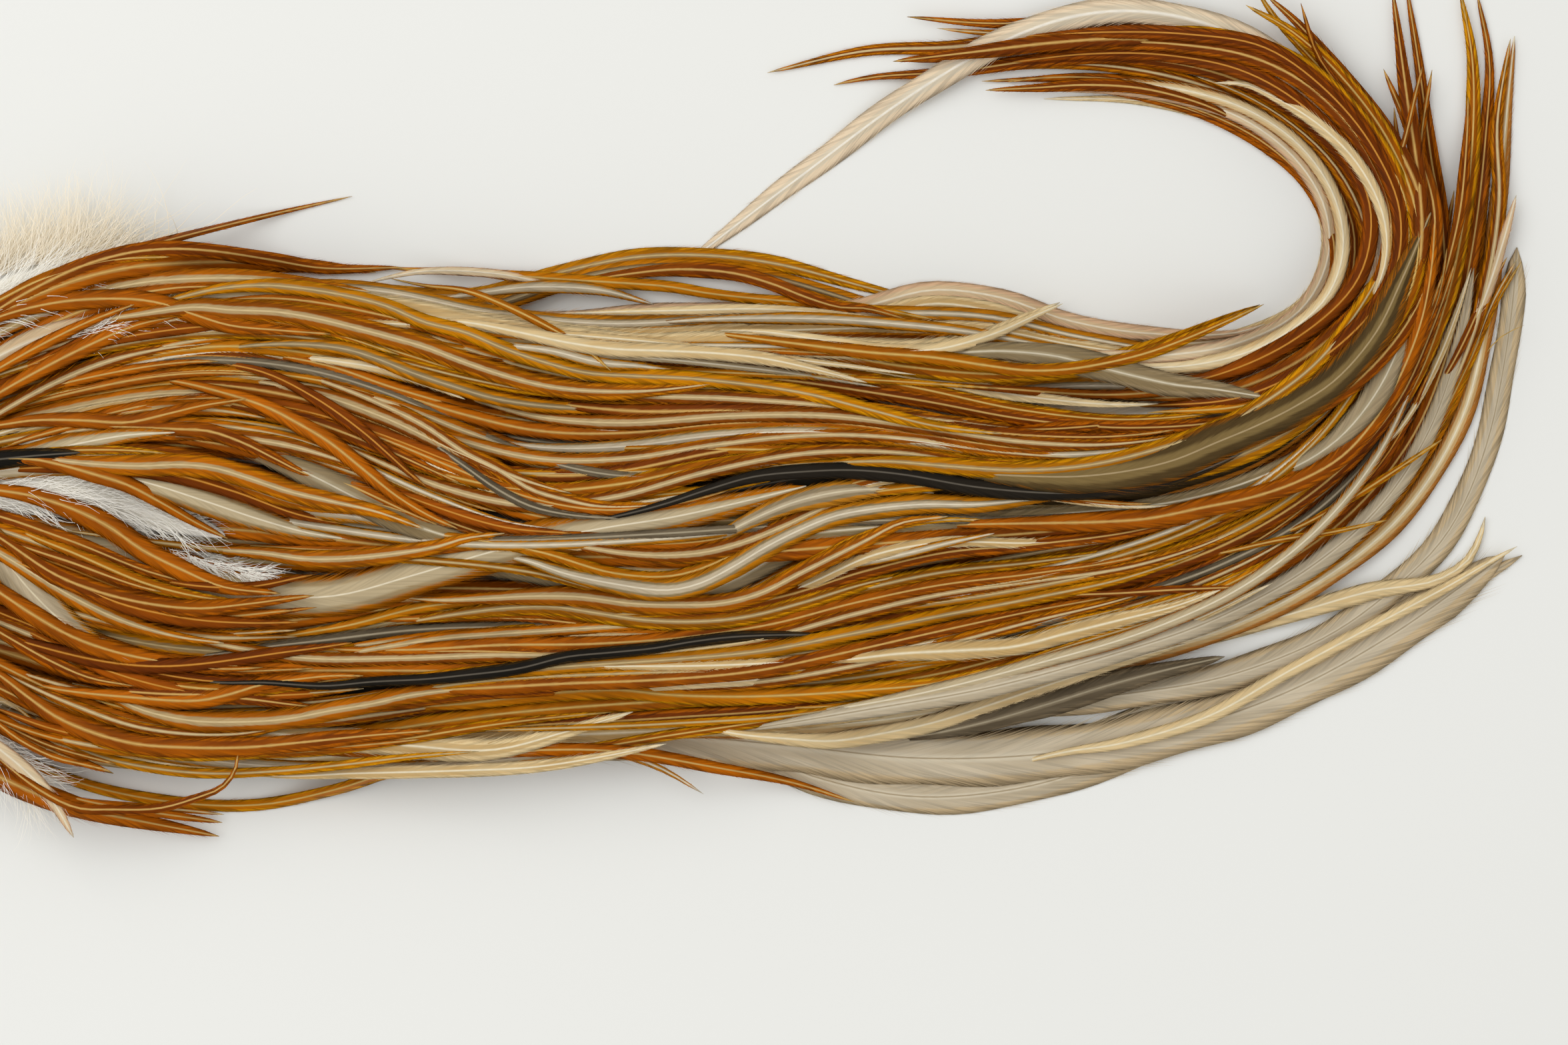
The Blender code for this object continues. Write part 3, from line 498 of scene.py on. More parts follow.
# Each lock replaces its solid: half width in mm, its feathers from left to right, and the solid's path.
locks = {
    "trailing_grey_1": (4.2, "taupe taupe", "-15,88 12,101 50,107 90,108 110,110.5 123,115.5 137,118 "
        "152,116.5 168,111.5 185,104.5 205,95.5 228.3,82"),
    "trailing_grey_2": (4.2, "taupe", "-23,92 8,105 50,110 90,110 118,112.5 138,114 160,112.5 180,108.5 "
        "196,103 210,95.5 220,88.5 226.6,83.6"),
    "rising_grey": (2.3, "taupe", "-15,84 18,99 60,105 105,106 145,106 170,104 185,101.5 200,95.6 210.4,88 "
        "217,81.2 220.9,74.2 224,65 226,55 227.4,45 228.1,36.8"),
    "kinked_tan": (1.7, "cream", "-23,88 10,100 60,106 110,107 150,102 175,97 193,92.6 206,88.8 216,87 "
        "220.5,84.2 222.4,80.8 223.3,77.5"),
    "edge_cream": (2.7, "ginger edged", "-15,80 18,97 60,105 105,108 140,105.5 165,98.9 185,93 199,85.4 "
        "210,76 218.4,62.2 222,48.4 223.8,35 225.4,20 227,4.8"),
    "outer_ginger_1": (3.0, "rust cream ginger", "-23,84 10,99 50,106 90,105 130,103 160,97 184,90 200,81 "
        "212,67.5 219,54 223,44.5 226.8,37.8"),
    "outer_ginger_2": (3.0, "rust cream rust", "-15,76 15,92 50,101 90,101.5 130,100.5 160,94.5 184,87 "
        "199,78 210,65 216,50 219.5,35 221.6,20 222.4,9 220.6,-1.5"),
    "outer_ginger_3": (3.0, "rust ginger rust", "-15,72 15,86 50,97 90,97 130,95 160,89.5 184,82.5 "
        "200,72.5 210,59 214.6,45 214.6,34 213,24 211.6,12 209.6,-3"),
    "outer_ginger_4": (2.8, "rust ginger rust", "-23,80 5,90 45,95 90,93.5 130,89.5 160,85 182,78 197,67.5 "
        "206,55 210.6,42 211.6,30 212,20 213.8,9.8"),
    "curl_1": (2.3, "cream blush rust", "-15,60 10,51 45,45 85,50 120,51.5 150,52.5 172,53.4 187,51.6 "
        "197.4,45.8 201,36.6 198.8,28 192.8,21 184,16.2 172.4,13.2 160,12.6 147.5,13"),
    "curl_2": (2.8, "rust rust ginger", "-15,63 10,55 45,49 85,54 120,57 150,59 174,59.5 190,55 200,46.5 "
        "202.6,36 199,26.8 191.5,19.6 181,14.6 168,11.8 156,11.4 144.5,13"),
    "curl_3": (2.9, "rust ginger pale", "-23,60 5,51 45,46 85,55 120,59 150,62.5 176,62.5 193,56.5 "
        "203.6,46.5 205.6,35 201.4,25 193,17 182,11.6 168,9.2 150,10.4"),
    "curl_4": (2.9, "rust deep ginger", "-15,67 10,60 45,54 80,61 115,63 150,66 179,64.5 197,57 208,45.5 "
        "209.4,34 205,24.6 197,16 186,10 172,6.8 157,6.6 143,8.2 130,9 115.6,12.5"),
    "curl_5": (2.8, "rust ginger rust", "-23,67 5,60 45,58 80,67 115,67 150,69.5 180,67 199,58.5 210.4,46 "
        "211,33.4 206,22.4 198,14 188,8.2 175,5.2 160,4.8 147,4.6 136,3.6"),
    "curl_6": (2.8, "deep rust amber", "-23,72 5,66 40,62 75,71 100,74 130,70 160,70 182,69 199,61 "
        "209.6,49.6 212.4,38 209.4,27.4 202.6,17.6 195,9.4 190,4 186,-2"),
    "curl_7": (2.6, "deep rust deep", "-31,64 0,57 40,55 80,66 115,68 150,70.5 180,68.5 199,60 210,48 "
        "211.4,36 207,24.8 200.4,15.4 196,8.6 193.7,0.8"),
    "curl_cream": (2.2, "veil", "-31,60 0,52 40,47 85,55 120,58 150,62 178,61.5 196,55 206.4,44.4 208,33 "
        "202.4,21 192.6,9.6 181,3.4 170,1.2 160,2.2 149,6.4 135,15 120,26.4 102,40.3"),
    "low_ginger_1": (2.9, "rust ginger deep", "-31,88 0,100 22,106 45,106.5 70,103.5 95,102.5 120,101.5 "
        "142,98.5 162,93.5 181,87 196,78.5 206.6,67 213,54"),
    "low_ginger_2": (2.9, "amber rust cream", "-31,92 -6,104 12,111 30,113 50,112 75,109 100,107.4 122,106 "
        "142,102.6 160,97.4 176,92.4 190,85.6"),
    "low_golden": (2.8, "golden ginger amber", "-23,76 5,88 30,96 50,95 65,92 80,91.4 100,93 118,91.4 "
        "136,87 155,83 172,79.6 187,74.6 199,66.4 206,57"),
    "low_ginger_3": (2.9, "ginger golden rust", "-31,84 0,96 22,101 45,99 65,96.4 85,95.4 105,94.6 "
        "125,92.6 145,89 165,85.6 183,80 198,71 208,60 213.4,48 216.6,38"),
    "bottom_loop": (0.9, "amber", "-39,92 -14,106 0,113 12,118 26,120.8 39,121 50,118.6 60,115.4 72,114 "
        "86,112.6 100,110.4 120,107.4 140,103.4 155,99 168,95"),
    "low_stray_1": (1.2, "pale", "-39,88 -8,104 18,112 44,115 68,114.6 84,113 92,113 99,115.4 105.4,119.4"),
    "low_stray_2": (1.2, "rust", "-39,84 -8,99 20,108.6 48,112 74,112.4 92,112.6 108,115.4 119,117.8 "
        "128.2,120.7"),
    "mid_ginger_1": (2.9, "rust ginger rust", "-31,80 0,88 28,93 55,90 78,90 98,91 110,89.4 120,85 "
        "130,80.4 141,78.4 156,78.8 171,77.6 186,74 199,66.6 208,55.6 213.6,44 215,37"),
    "mid_taupe": (3.0, "pale stone", "-31,76 0,78 35,81 62,82 80,84.4 92,87.8 101,88.4 109,86.2 118,81 "
        "128,77.6 140,76.2 153,75.4 168,74 186,74.6"),
    "mid_ginger_2": (2.7, "ginger rust ginger", "-39,80 0,80 35,82.6 62,83.4 84,82 99,83.6 110,82.6 "
        "120,78.4 130,74.2 141,73 156,75.4 172,76.4 188,73.6 201,66"),
    "bend_taupe": (3.5, "umber stone rust", "-39,76 0,74 35,77 70,81 100,81 130,79 158,77.6 179,75 194,69 "
        "204.6,59.4 210.4,49 213.6,40.5"),
    "black_low": (2.1, "black", "-39,72 -8,84 15,97 32,101.6 48,102.6 68,101.4 84,99.2 99,97 112,95.6 "
        "130,95.4"),
    "black_long": (2.3, "black", "-31,72 -8,69 8,68.4 28,70 52,75 76,78.6 92,77.4 106,74.2 121,71.4 "
        "135,71.2 147,73.2 160,74 173,72.6 186,68.4 198,60.4 207,48.6"),
    "bend_olive": (2.6, "umber golden", "-39,68 -5,64 35,62 70,68 100,68.6 130,68.4 158,71 179,69 194,62.4 "
        "204,51.6 210,41 214.5,31.6"),
    "arch_olive": (2.3, "golden olive", "-31,56 0,48 32,43.4 56,45 72,45 84,41.4 95,39.2 105,39 116,40.4 "
        "130,44.2 140,46.8 149,48.8"),
    "arch_cream": (2.5, "blush cream", "-39,60 0,52 40,48 80,49.6 100,48 116,47.4 128,47 140,44.2 150,45.4 "
        "160,49 172,51.2 187,51 197,46.6"),
    "upper_ginger_1": (2.8, "rust ginger rust", "-39,64 -6,57 20,48.6 40,46 58,49 74,54 90,58 108,58.6 "
        "122,60 134,63.6 147,65.8 162,65.8 179,63.4 193,57"),
    "upper_grey": (3.2, "stone pale", "-47,64 -5,56 40,50 90,53 125,56 148,57.8 160,56.8 172,57 182,58.6 "
        "189.7,59.8"),
    "upper_cream_1": (2.8, "pale cream ginger", "-47,60 -5,52 35,45.6 56,45.4 74,48.6 92,50.2 112,49.4 "
        "132,49 148,49.4 162,52.2 176,54 188,52.8 197.4,48 206.4,39.4"),
    "upper_cream_2": (2.7, "cream amber rust", "-47,68 -10,61 25,51.6 56,48.6 78,50.8 98,53.4 118,55 "
        "138,58.2 154,61.4 170,62.8 186,61 198,55.4"),
    "orange_single": (1.6, "amber", "-47,56 0,50 35,46 60,48 82,51.6 102,51.8 120,52.6 136,55 150,56 "
        "164,54.6 175,51.2 189.3,45.7"),
    "upper_cream_3": (2.0, "cream", "-39,56 -5,50 30,45 55,46 75,49.4 95,51.6 112,51.6 126,52.6 138,52.8 "
        "147,50.8 154,47.6 159.2,45.3"),
    "low_cream": (2.2, "golden rust", "-39,80 -5,90 25,98 60,99.4 100,99.6 128,98.4 145,97 160,94.6 174,91 "
        "181.6,88.6"),
    "cross_cream": (2.1, "cream", "-47,88 -12,100 15,107.4 42,110 60,111.4 74,112.2 85,109.6 95,106.8"),
    "fall_1": (2.7, "ginger rust ginger", "-47,72 -12,66 12,57 32,53 48,54.4 60,58 73,61.2 88,63 104,63 "
        "120,62.6 134,63.4 147,65.2"),
    "fall_2": (2.9, "rust ginger rust", "-55,66 -18,61 6,52.6 28,48.4 46,49.4 60,53.4 72,56.6 84,58.6 "
        "96,58.8 108,57.2"),
    "fall_3": (3.0, "rust ginger amber", "-55,70 -18,66 8,59 28,56 45,57.4 58,61 70,66 81,70 92,72 "
        "104,71.8 117,70"),
    "fall_4": (3.0, "ginger rust rust", "-47,76 -14,71 8,64.4 28,61 44,62.6 56,66 68,70.6 79,74.6 90,76.2 "
        "101,75 109,72.8"),
    "fall_5": (3.0, "rust ginger rust", "-55,74 -18,71 8,66.6 26,65 42,67 54,71 65,75.4 76,78.8 86,79.8"),
    "wide_tan": (3.4, "tan", "-47,80 -14,80.6 8,81.6 24,85.4 38,88.8 50,89 62,86 75,82.4 90,79.6 101,78 "
        "111,75.8 121,73.2"),
    "spindle_ginger": (2.6, "rust pale", "-55,78 -20,73 4,69.4 24,69 36,71.6 46,74.8 57,76.6 68,79.8"),
    "left_ginger_1": (2.8, "rust deep ginger", "-47,84 -14,86.6 4,93 18,99.4 32,102.4 44,102.2 54.6,101.2"),
    "left_ginger_2": (2.8, "rust ginger rust", "-55,86 -22,92.6 -4,99.6 10,106 22,110 36,110.8 49,108"),
    "left_ginger_3": (2.8, "deep rust ginger", "-55,82 -20,82.6 -2,86.4 14,91 30,93.4 44.6,93"),
    "left_ginger_4": (2.9, "rust ginger deep", "-63,78 -26,76.6 -4,78.4 10,83 24,88.4 37,90.4 47.6,89.2"),
    "left_low_1": (2.2, "rust", "-47,92 -20,106 -2,115 10,120.4 21,123.2 32.4,125.8"),
    "left_low_2": (2.2, "rust", "-55,90 -22,99 -2,107 8,112.4 17.2,115.8"),
    "crown_ginger": (2.6, "rust ginger deep", "-63,74 -30,69.6 -8,60.4 6,53.6 18,47.4 30.4,42.8"),
    "upper_stray": (1.0, "rust", "-55,62 -24,55.6 -2,46.8 12,40.2 25,36.4 38,32.6 52.4,29.2"),
}
slots = {"ginger_feather": "rust deep ginger", "golden_feather": "amber golden olive",
         "cream_feather": "cream blush pale veil edged", "black_feather": "black",
         "taupe_feather": "tan taupe hemmed smoke stone umber"}
slotOf = {kind: slotName for slotName, kinds in slots.items() for kind in kinds.split()}
dressing = {
    "rise": 24, "taper": 90, "point": 24,  # mm of plumeWidth
    "points": {"rising_grey": 6, "trailing_grey_2": 12, "upper_stray": 40},  # where the tip differs
    "gather": 26,        # mm from the skin over which a lock's feathers come apart
    "plantedTop": 1.3,   # mm, height of the skin's top, where every quill begins
    "plantedRun": 9,     # mm over which a feather rises to its lock
    "layer": 0.12,       # mm by which each feather of a lock lies over the one before
}
ripening, ripeKinds = 0.8, ("rust", "amber", "ginger", "deep")  # long ginger ones deepen towards their tips
spread = {1: ([0.0], 1.0), 2: ([0.46, -0.46], 0.62), 3: ([0.66, 0.0, -0.66], 0.44)}  # offsets, width share

for number, (name, (half, kinds, points)) in enumerate(locks.items()):
    rng = np.random.default_rng(100 + number)
    path, along = smoothPath(trace(points), feather["spacing"])
    side = leftOf(path)
    roof = upperFaces([name])
    kinds = kinds.split()
    offsets, widthShare = spread[len(kinds)]
    sheets = []
    for rank, (kind, offset) in enumerate(zip(kinds, offsets)):
        gather = 0.45 + 0.55 * np.clip(along / dressing["gather"], 0, 1)
        wander = 0.12 * np.sin(along / 17 + rng.random() * 6.3)
        end = 1.0 if rank == len(kinds) - 1 else 0.9 + 0.09 * rng.random()
        own, ownAlong = stretch(path + side * (half * (offset * gather + wander))[:, None], along,
                                0, end * along[-1] + 1e-6)
        width = plumeWidth(ownAlong, half * widthShare, dressing["rise"], dressing["taper"],
                           dressing["points"].get(name, dressing["point"]))
        lift = 0.06 + dressing["layer"] * rank - 0.6 * crownOf(width)
        planted = softStep(ownAlong / dressing["plantedRun"])
        height = [dressing["plantedTop"] + (eased(level, 2) - dressing["plantedTop"]) * planted + lift
                  for level in acrossPath(own, width, lambda xy: roofHeight(roof, xy))]
        ripe = ripening * (kind in ripeKinds and ownAlong[-1] > 200)
        sheets.append(featherSheet(own, ownAlong, width, height, kind, rng.random(),
                                   0.85 + 0.5 * rng.random(), 10 * number + rank, ripe))
    putPiece(name + "_feathers", sheets, slotOf[kinds[0]], name)
print("locks dressed:", len(locks))

# single feathers that lie over the locks: look, half width in mm, path
singles = {
    "paleVanes": [
        ("hemmed", 3.2, "-18,72 -9,75.4 -3,79 1,83 5,88 9.5,92.6 14,96 20,99"),
        ("hemmed", 2.3, "102,83.4 107,81 113,77.9 119,75.4 126,73.8 133,73.4 140,74"),
        ("tan", 2.4, "8,69.6 16,70.8 24,72.8 32,75.4 39,77.8 46,79.8 53,81"),
        ("stone", 2.7, "30,65.6 38,67.8 46,70.8 54,74.8 61,78.2 68,80.6 74,82"),
        ("blush", 2.2, "-12,62 -4,56.6 2,53 8,50.4 14,48.6 20,47.6"),
        ("tan", 2.2, "-12,72 -4,70.4 4,68.6 12,66.8 20,65.4 27,65"),
        ("blush", 2.0, "-10,104 -2,110 4,115 8,119.4 11.5,125.5"),
    ],
    "topTips": [
        ("rust", 1.6, "-10,66 0,59.6 7,55.6 14,52 21,49 28,47.4"),
        ("ginger", 1.5, "-10,69 0,62.6 8,58 16,54.6 24,52.6 32,51.6"),
        ("rust", 1.5, "-10,58.5 0,53 7,49.4 13,46.8 20,44.6 27,43.4 34,43.2"),
        ("ginger", 1.6, "-10,56 0,50.4 7,47 14,44.4 22,42.6 30,42 38,42 46,42.6 56,44"),
        ("rust", 1.6, "-10,52.5 0,47.6 6,44.6 13,42 20,40.4 28,39.6 36,39.2 46,39.6 56,40.6"),
        ("amber", 1.2, "-10,50 0,45.6 6,42.6 12,40.6 18,39.2 26,38.8"),
        ("rust", 1.3, "-10,54 0,47 6,43.5 13,40.2 20,38.2 26,37.6 32,37.8 40,38.8 48,40 60,39.9"),
        ("rust", 1.4, "-10,62 0,56 7,52 14,48.5 20.8,45.9"),
        ("rust", 1.5, "-10,53 0,48 10,45.5 20.3,45.1 25,45.8 30,47.5 35,49 42,49.7 50,50.3"),
        ("ginger", 1.6, "10,49 20,47.6 29.7,46.3 35,46.7 42,47 48,48 53,49.2 58,50.5 64,52.2 70,54.5 "
            "76,56.5 82,58 88,58.7 96,58.8 102,58.3 108,57.5"),
        ("golden", 1.15, "20,47 27,45 33.5,43.5 40,43 46,43.5 52,44.5 58,46 64,48.5 70,50 76,52.5 82,54.5 "
            "88,56 95,56.5 105,57 120,59 130,61.5 140,64 150,65.2"),
        ("olive", 1.1, "30,53 38,52 45,51.8 52,52.5 57,54 62,56 68,58 75,60 85,61.2 95,61.2 105,60.8 "
            "115,60.5"),
        ("rust", 1.5, "-8,64.4 0,64 6,63.2 13,63.2 20,63.5 26,62.2 31,61 37.5,60"),
        ("rust", 1.5, "8,63.5 15,64 27,64.5 32,64.8 37,66.5 42,69 46,71 49,71.8"),
        ("rust", 1.5, "22,56.5 30,58 40,61 45,63.5 50,66.5 55,70.5 60,74.5 65,77.5 69,79.3"),
        ("deep", 1.4, "30,54 40,56 48,60 55,65 59,68.5 62,71.2 64.3,73"),
        ("rust", 1.5, "-8,69 0,69 6,69 10,69.8 15,71.2 20,72.8 25,75.5 30,78.5 34.5,80.8"),
        ("cream", 1.3, "40,53.8 46,53.8 52,54.5 58,55.5 64,57.5 70,60"),
        ("ginger", 1.8, "0,68.4 8,69 15,69.7 22,70 28,69.8 33,70.3 38,71.8 44,73.8 50,75.2 57,76.8 64,79.3"),
        ("black", 3.0, "-26,70.4 -18,70 -10,69.8 -4,69.4 1,69 6,68.5 13,68"),
    ],
    "lowerTips": [
        ("rust", 1.7, "-14,80 -6,84.6 0,88.2 6,92.2 12,95.6 19,98 27,99.4 36,99.8"),
        ("ginger", 1.5, "-14,76.5 -6,79.6 0,82.4 6,86 12,89.6 19,93 27,95.4 34,96.4"),
        ("rust", 1.5, "-12,88 -4,92 2,95.6 8,99 14,101.6 22,103"),
        ("rust", 2.0, "-8,72.5 0,73.5 6,74.5 12,76.5 17,79 22,82.5 28,85.5 34,88 42.5,89"),
        ("rust", 1.5, "-8,76 0,80 9,86 15,88.5 22,90.3 30,91.2 38,90.5 44,89.7 47.5,89.3"),
        ("deep", 1.5, "-8,80 0,83 13,88 19,90.5 25,92 31,93 38,93.4 45,93.3"),
        ("ginger", 1.6, "26,82 33,82.5 40,83 46,83.8 52,83.8 60,83 66,82 70,80.8 76,80"),
        ("rust", 1.4, "2,102 10,103.5 20,104.5 30,105 35,104 40,102.5 45,101.8 50,101.3 54.8,101.3"),
        ("rust", 1.3, "10,102.6 18,103.5 25,104 31.8,104.2 38,104.8 44,105.6 49.5,106.3"),
        ("ginger", 1.6, "8,102 16,104 22,106.5 29,108 36,108.2 43,107.8 50,106.5 56,105.5 62,104.2 "
            "70,103.3 79,103"),
        ("rust", 1.6, "-8,97 0,101 4,104 9,107.5 15,110 21,111.5 28,112 37,112 46,111.2 56,110.2 65,109.5"),
        ("cream", 1.1, "36,116.4 44,116.4 52,116 60,115.8 70,115.5 80,115 90,113.5 100,111.5"),
        ("golden", 0.8, "0,104 8,110 15,113.4 23,115.2 32,116 42,115.6 52,114.6 62,113.4 72,112.6"),
        ("rust", 0.9, "-6,107 0,113 6,118 12,121 17,121.3 24,121.2 30,119.5 33.5,118 35.5,115.5 36.2,111.6"),
        ("rust", 1.2, "-6,103 0,108 4,111 9,113.5 13,114.5 17,115.5"),
    ],
    "middleTips": [
        ("ginger", 1.3, "40,55.5 46,56.5 52,58.5 58,61 64,64 70,68 75,70.5 80,73.5 85,75 90,76 96,76 "
            "102,75.5"),
        ("smoke", 1.0, "60,63 65,66.5 70,70 75,73.5 80,76 86,77.3 93,77.8"),
        ("ginger", 1.5, "80,81.5 87,82 94,83 100,83.3 106,82.8 112,81.2 118,78.8 124,76 130,73.8 136,73"),
        ("pale", 1.7, "73,83 79,84 85,86 92,87.5 100,88.5 105,87.5 110,85 115,82 120,79.5 125,77.5 "
            "130,76.5 138,75.7 146,75.7 154,75 160,74.5"),
        ("ginger", 1.5, "60,89.6 66,90 72,89.8 80,89.4 87,89.5 95,90.5 102,90.7 108,90.5 114,89 120,86 "
            "125,83.5 130,81 135,78.5 142,77.5"),
        ("golden", 1.4, "56,94 62,93.2 68,92.2 76,91.2 83,91 90,92 97,93 105,93.2 112,92.5 120,90.5 "
            "130,87.5 140,85.5"),
        ("amber", 1.4, "56,106.6 64,106 70,105.5 78,104.5 86,103.7 93,103.5 100,104.2 110,104.5 120,104.2 "
            "130,103.5 140,102.5 150,100"),
        ("pale", 1.3, "121,86 127,85 136,83 142,81.5 149,80"),
        ("black", 1.35, "86,78.6 93,77.4 100,75.6 106,73.6 113,71.6 121,70.8 128,70.6 135,71.2 147,73.2 "
            "160,74 173,72.6 180,70.6 186,68"),
        ("black", 1.0, "27,101.6 33,102.3 40,102.3 49,102.8 56,102.2 64,101.8 70,101.2 78,100.2 85,98.5 "
            "92,97.8 98,97.2 104,96.2 110,95.5 120,95.2 126,95.5"),
        ("rust", 1.5, "139,79 145,78.7 156,78.5 165,78.3 172,77.8 180,76.2 188,74.5 195,72 201,68.5 206,63 "
            "210,56 213,48 214.5,40 215,33"),
        ("umber", 2.8, "140,70 146,71 154,71.5 162,71.5 170,70.5 176,69 182,66.5 188,64 194,61 200,57 "
            "206,50 210,42 214.4,32"),
        ("golden", 1.3, "119,70 125,69.5 133,69.3 142,70 152,70.6 162,70 172,67.8 182,64.4 190,60 197,54.6 "
            "203,47.4 207.4,40 210,33"),
    ],
    "upperStrands": [
        ("pale", 0.7, "56,46.4 70,49 84,51.2 96,52 108,52 122,52.2 136,52.6"),
        ("stone", 0.6, "62,49.6 76,51.8 90,53.2 104,54.4 118,56 132,58.2"),
        ("amber", 0.9, "58,41.5 64,42.8 70,43.7 76,46 83,49.5 88,52.5 91.8,55.8"),
        ("rust", 1.3, "82,44 88,42 95,40.8 102,40.2 110,40.8 116,42.5 121,44.5 126,46 130,46.2 136,47.8"),
        ("amber", 0.9, "56,39.8 62,40.2 70,40.5 77,41.2 85,41.8 92,42.2 100,42.8 106,43.8 112,44.5 "
            "120,45.2 130,46 140,47.8"),
        ("blush", 1.2, "54,42.5 58,41.5 65,40.5 75,41 84,43"),
        ("pale", 1.5, "64,45 72,44 80,43 90,43.4 98,45.5"),
        ("cream", 1.2, "62,48 70,48.5 78,50 85,51.5 92,52.5 100,52.8 108,53.2 115,54 122,55.5 130,57.5"),
        ("pale", 1.5, "70,51 77,52 83,52.8 90,54.5 96,55 102,55.8"),
        ("cream", 1.2, "108,49.6 115,50 125,51.5 133,52.7 140,52.6 145,51.5 150,49.8 155,47.5 159.5,45.5"),
        ("stone", 2.3, "137,52.4 143,53 150,52.8 158,53.5 164,55 170,56.5 176,57.8 182,58.5 189.5,59.7"),
        ("pale", 1.0, "96,48.6 106,48 116,47.8 126,48 136,48.8 146,50 156,51.8 166,53.2"),
        ("cream", 0.9, "84,47 94,46.8 104,46.6 114,46.4 124,47 134,48"),
        ("amber", 1.1, "104,49.6 110,50.5 120,51.8 130,53 140,53.8 148,55 154,55.7 160,55.5 166,54.5 "
            "172,53 178,50.8 184,48.2 189.5,45.7"),
    ],
    "curlTops": [
        ("edged", 1.15, "150,54 164,55 179,54.8 190,51.6 198.6,45 201.6,37 200.4,29 195.6,21.8 188,16.4 "
            "179,13.4 170,12.2 160,11.8"),
        ("blush", 1.05, "146,52.6 160,53.4 174,53.4 186,51.4 195.4,46.4 199.6,38.6 199.2,31 194.8,23.6 "
            "187,17.6 178,14.5 168,13.2 156,13"),
        ("rust", 1.4, "168,60 185,58.5 198,52 207,42 208.5,32 204.5,22 197,13.5 188,8.6 176,6.4 162,6 "
            "149,7"),
        ("amber", 1.3, "172,62 188,60.5 201,53.5 209.5,43 211,32 206.5,21.5 199.5,13 191,7.4 180,4.6 "
            "170,4.4"),
        ("deep", 1.3, "165,58.6 180,57 194,51 203.5,42 205.5,32 202,23 195,15.6 186,10.4 175,8 163,7.8 "
            "152,9"),
        ("rust", 1.4, "176,64.5 192,62 204,54 212,42.5 213,31 209,21 202,11.5 195.5,4 190,-1"),
        ("rust", 1.3, "180,66 196,62 207,53.5 213.6,43 215,32 212,20 208,10"),
        ("deep", 1.3, "170,61 186,59.6 199.6,52.6 208.4,42.4 209.8,32 205.6,21.8 198.2,13 189.4,7 178,5 "
            "166,4.6 154,5.2"),
        ("amber", 1.3, "178,63.6 194,60.6 205.4,52.6 211.6,42.6 212.2,32 208,20.6 201,11 194,4.6 187,0.6"),
    ],
    "rightTips": [
        ("rust", 0.9, "152,89.8 160,89.3 168,89 176,88.5 183,88.2 188.5,88"),
        ("amber", 0.8, "176,84.6 184,82.8 192,81 200,79.8 208.4,78"),
        ("amber", 0.9, "186,82 194,79.4 203,74.6 210,70.2 216.6,65.9"),
        ("cream", 0.9, "204,70 209,65.6 212.6,60.6 216,54 219,46.6 221.2,40"),
        ("stone", 2.5, "188,72.4 195,69.6 201,65.4 206.4,58.6 210,51 212.2,43.4"),
        ("cream", 1.5, "120,99.5 128,98.8 135,98 145,97.5 152,97 160,95 168,93 176,91 183,88.5"),
        ("cream", 1.4, "104,108.6 110,110 118,110.8 125,111.2 133,110 140,108.5 148,106 158,102.6 168,99.4 "
            "178,96.6"),
        ("cream", 1.1, "150,115.5 160,113 168.4,111.7 181.8,107.5 193.5,100.9 206,94.2 218.5,87.6 "
            "223.6,84.6 228.2,82"),
        ("rust", 1.3, "214,62 219.6,52 223.4,44 226.6,38.4"),
        ("amber", 1.35, "208,66 214,54 218,42 220.4,30 221.6,18 221.4,8 219.6,-2"),
        ("rust", 1.35, "206,60 211,48 213,36 212.6,26 211.4,14 209.4,-2"),
        ("ginger", 1.2, "214,66 220,54 223.6,42 225.4,30 225.2,18 227.2,5.4"),
        ("taupe", 1.5, "110,109.8 129,106.6 148,103.2 166,98.4 182,93 196,85.6 207,76.2 214.6,64.8 "
            "219,52.6 221.6,40"),
        ("tan", 1.05, "118,107.6 138,104 156,99.4 172,94.6 186,88.2 197.6,79.4 206.6,68.4 212.8,56"),
        ("smoke", 2.2, "133,111.4 140,110.2 148,108.4 157,105.8 166,103 175,100.6 184,98.6"),
        ("cream", 1.15, "203,51 207.5,40 207.8,35 206.5,30 203,24 198,19 192,15 187,12.5 182.5,12.2"),
        ("rust", 1.3, "208,30 211,20 212.6,14 213.8,9.7"),
        ("rust", 1.3, "214,50 217,40 219.4,30 220.6,20 220.8,14.2"),
        ("amber", 0.55, "221.6,57 223.6,52.8 226,50.2 229.3,48.6"),
        ("blush", 1.6, "218,56 223,45 226,36 228,29"),
        ("rust", 1.4, "186,9.5 177,6.4 168,5.6 158,6.2 146,7.6 134,9"),
        ("rust", 1.2, "190,20 182,15.8 172,13 163,12.4 156,12.8 148,13.2"),
    ],
}
laid = {
    "taper": 50, "point": 16, "rise": 24, "blackRise": 45,  # mm of plumeWidth
    "lift": 0.5, "paleLift": 0.1,  # mm over the pile
    "step": 0.06, "mostSteps": 0.7,  # mm that each lies over the one before, and in all
}
for group, (groupName, plumes) in enumerate(singles.items()):
    sheets = []
    for number, (kind, half, points) in enumerate(plumes):
        rng = np.random.default_rng(9000 + 50 * group + number)
        path, along = smoothPath(trace(points), feather["fineSpacing"])
        width = plumeWidth(along, half, laid["blackRise" if kind == "black" else "rise"],
                           laid["taper"], laid["point"])
        lift = laid["paleLift" if groupName == "paleVanes" else "lift"]
        lift += min(laid["step"] * number, laid["mostSteps"])
        ripe = ripening * (groupName in ("curlTops", "rightTips") and kind in ripeKinds)
        sheets.append(laidFeather(path, along, width, 3, lift, kind, rng, (0.85, 0.5),
                                  7000 + 50 * group + number, ripe))
    putPiece(groupName, sheets, slotOf[plumes[0][0]])
print("single feathers:", sum(len(plumes) for plumes in singles.values()))

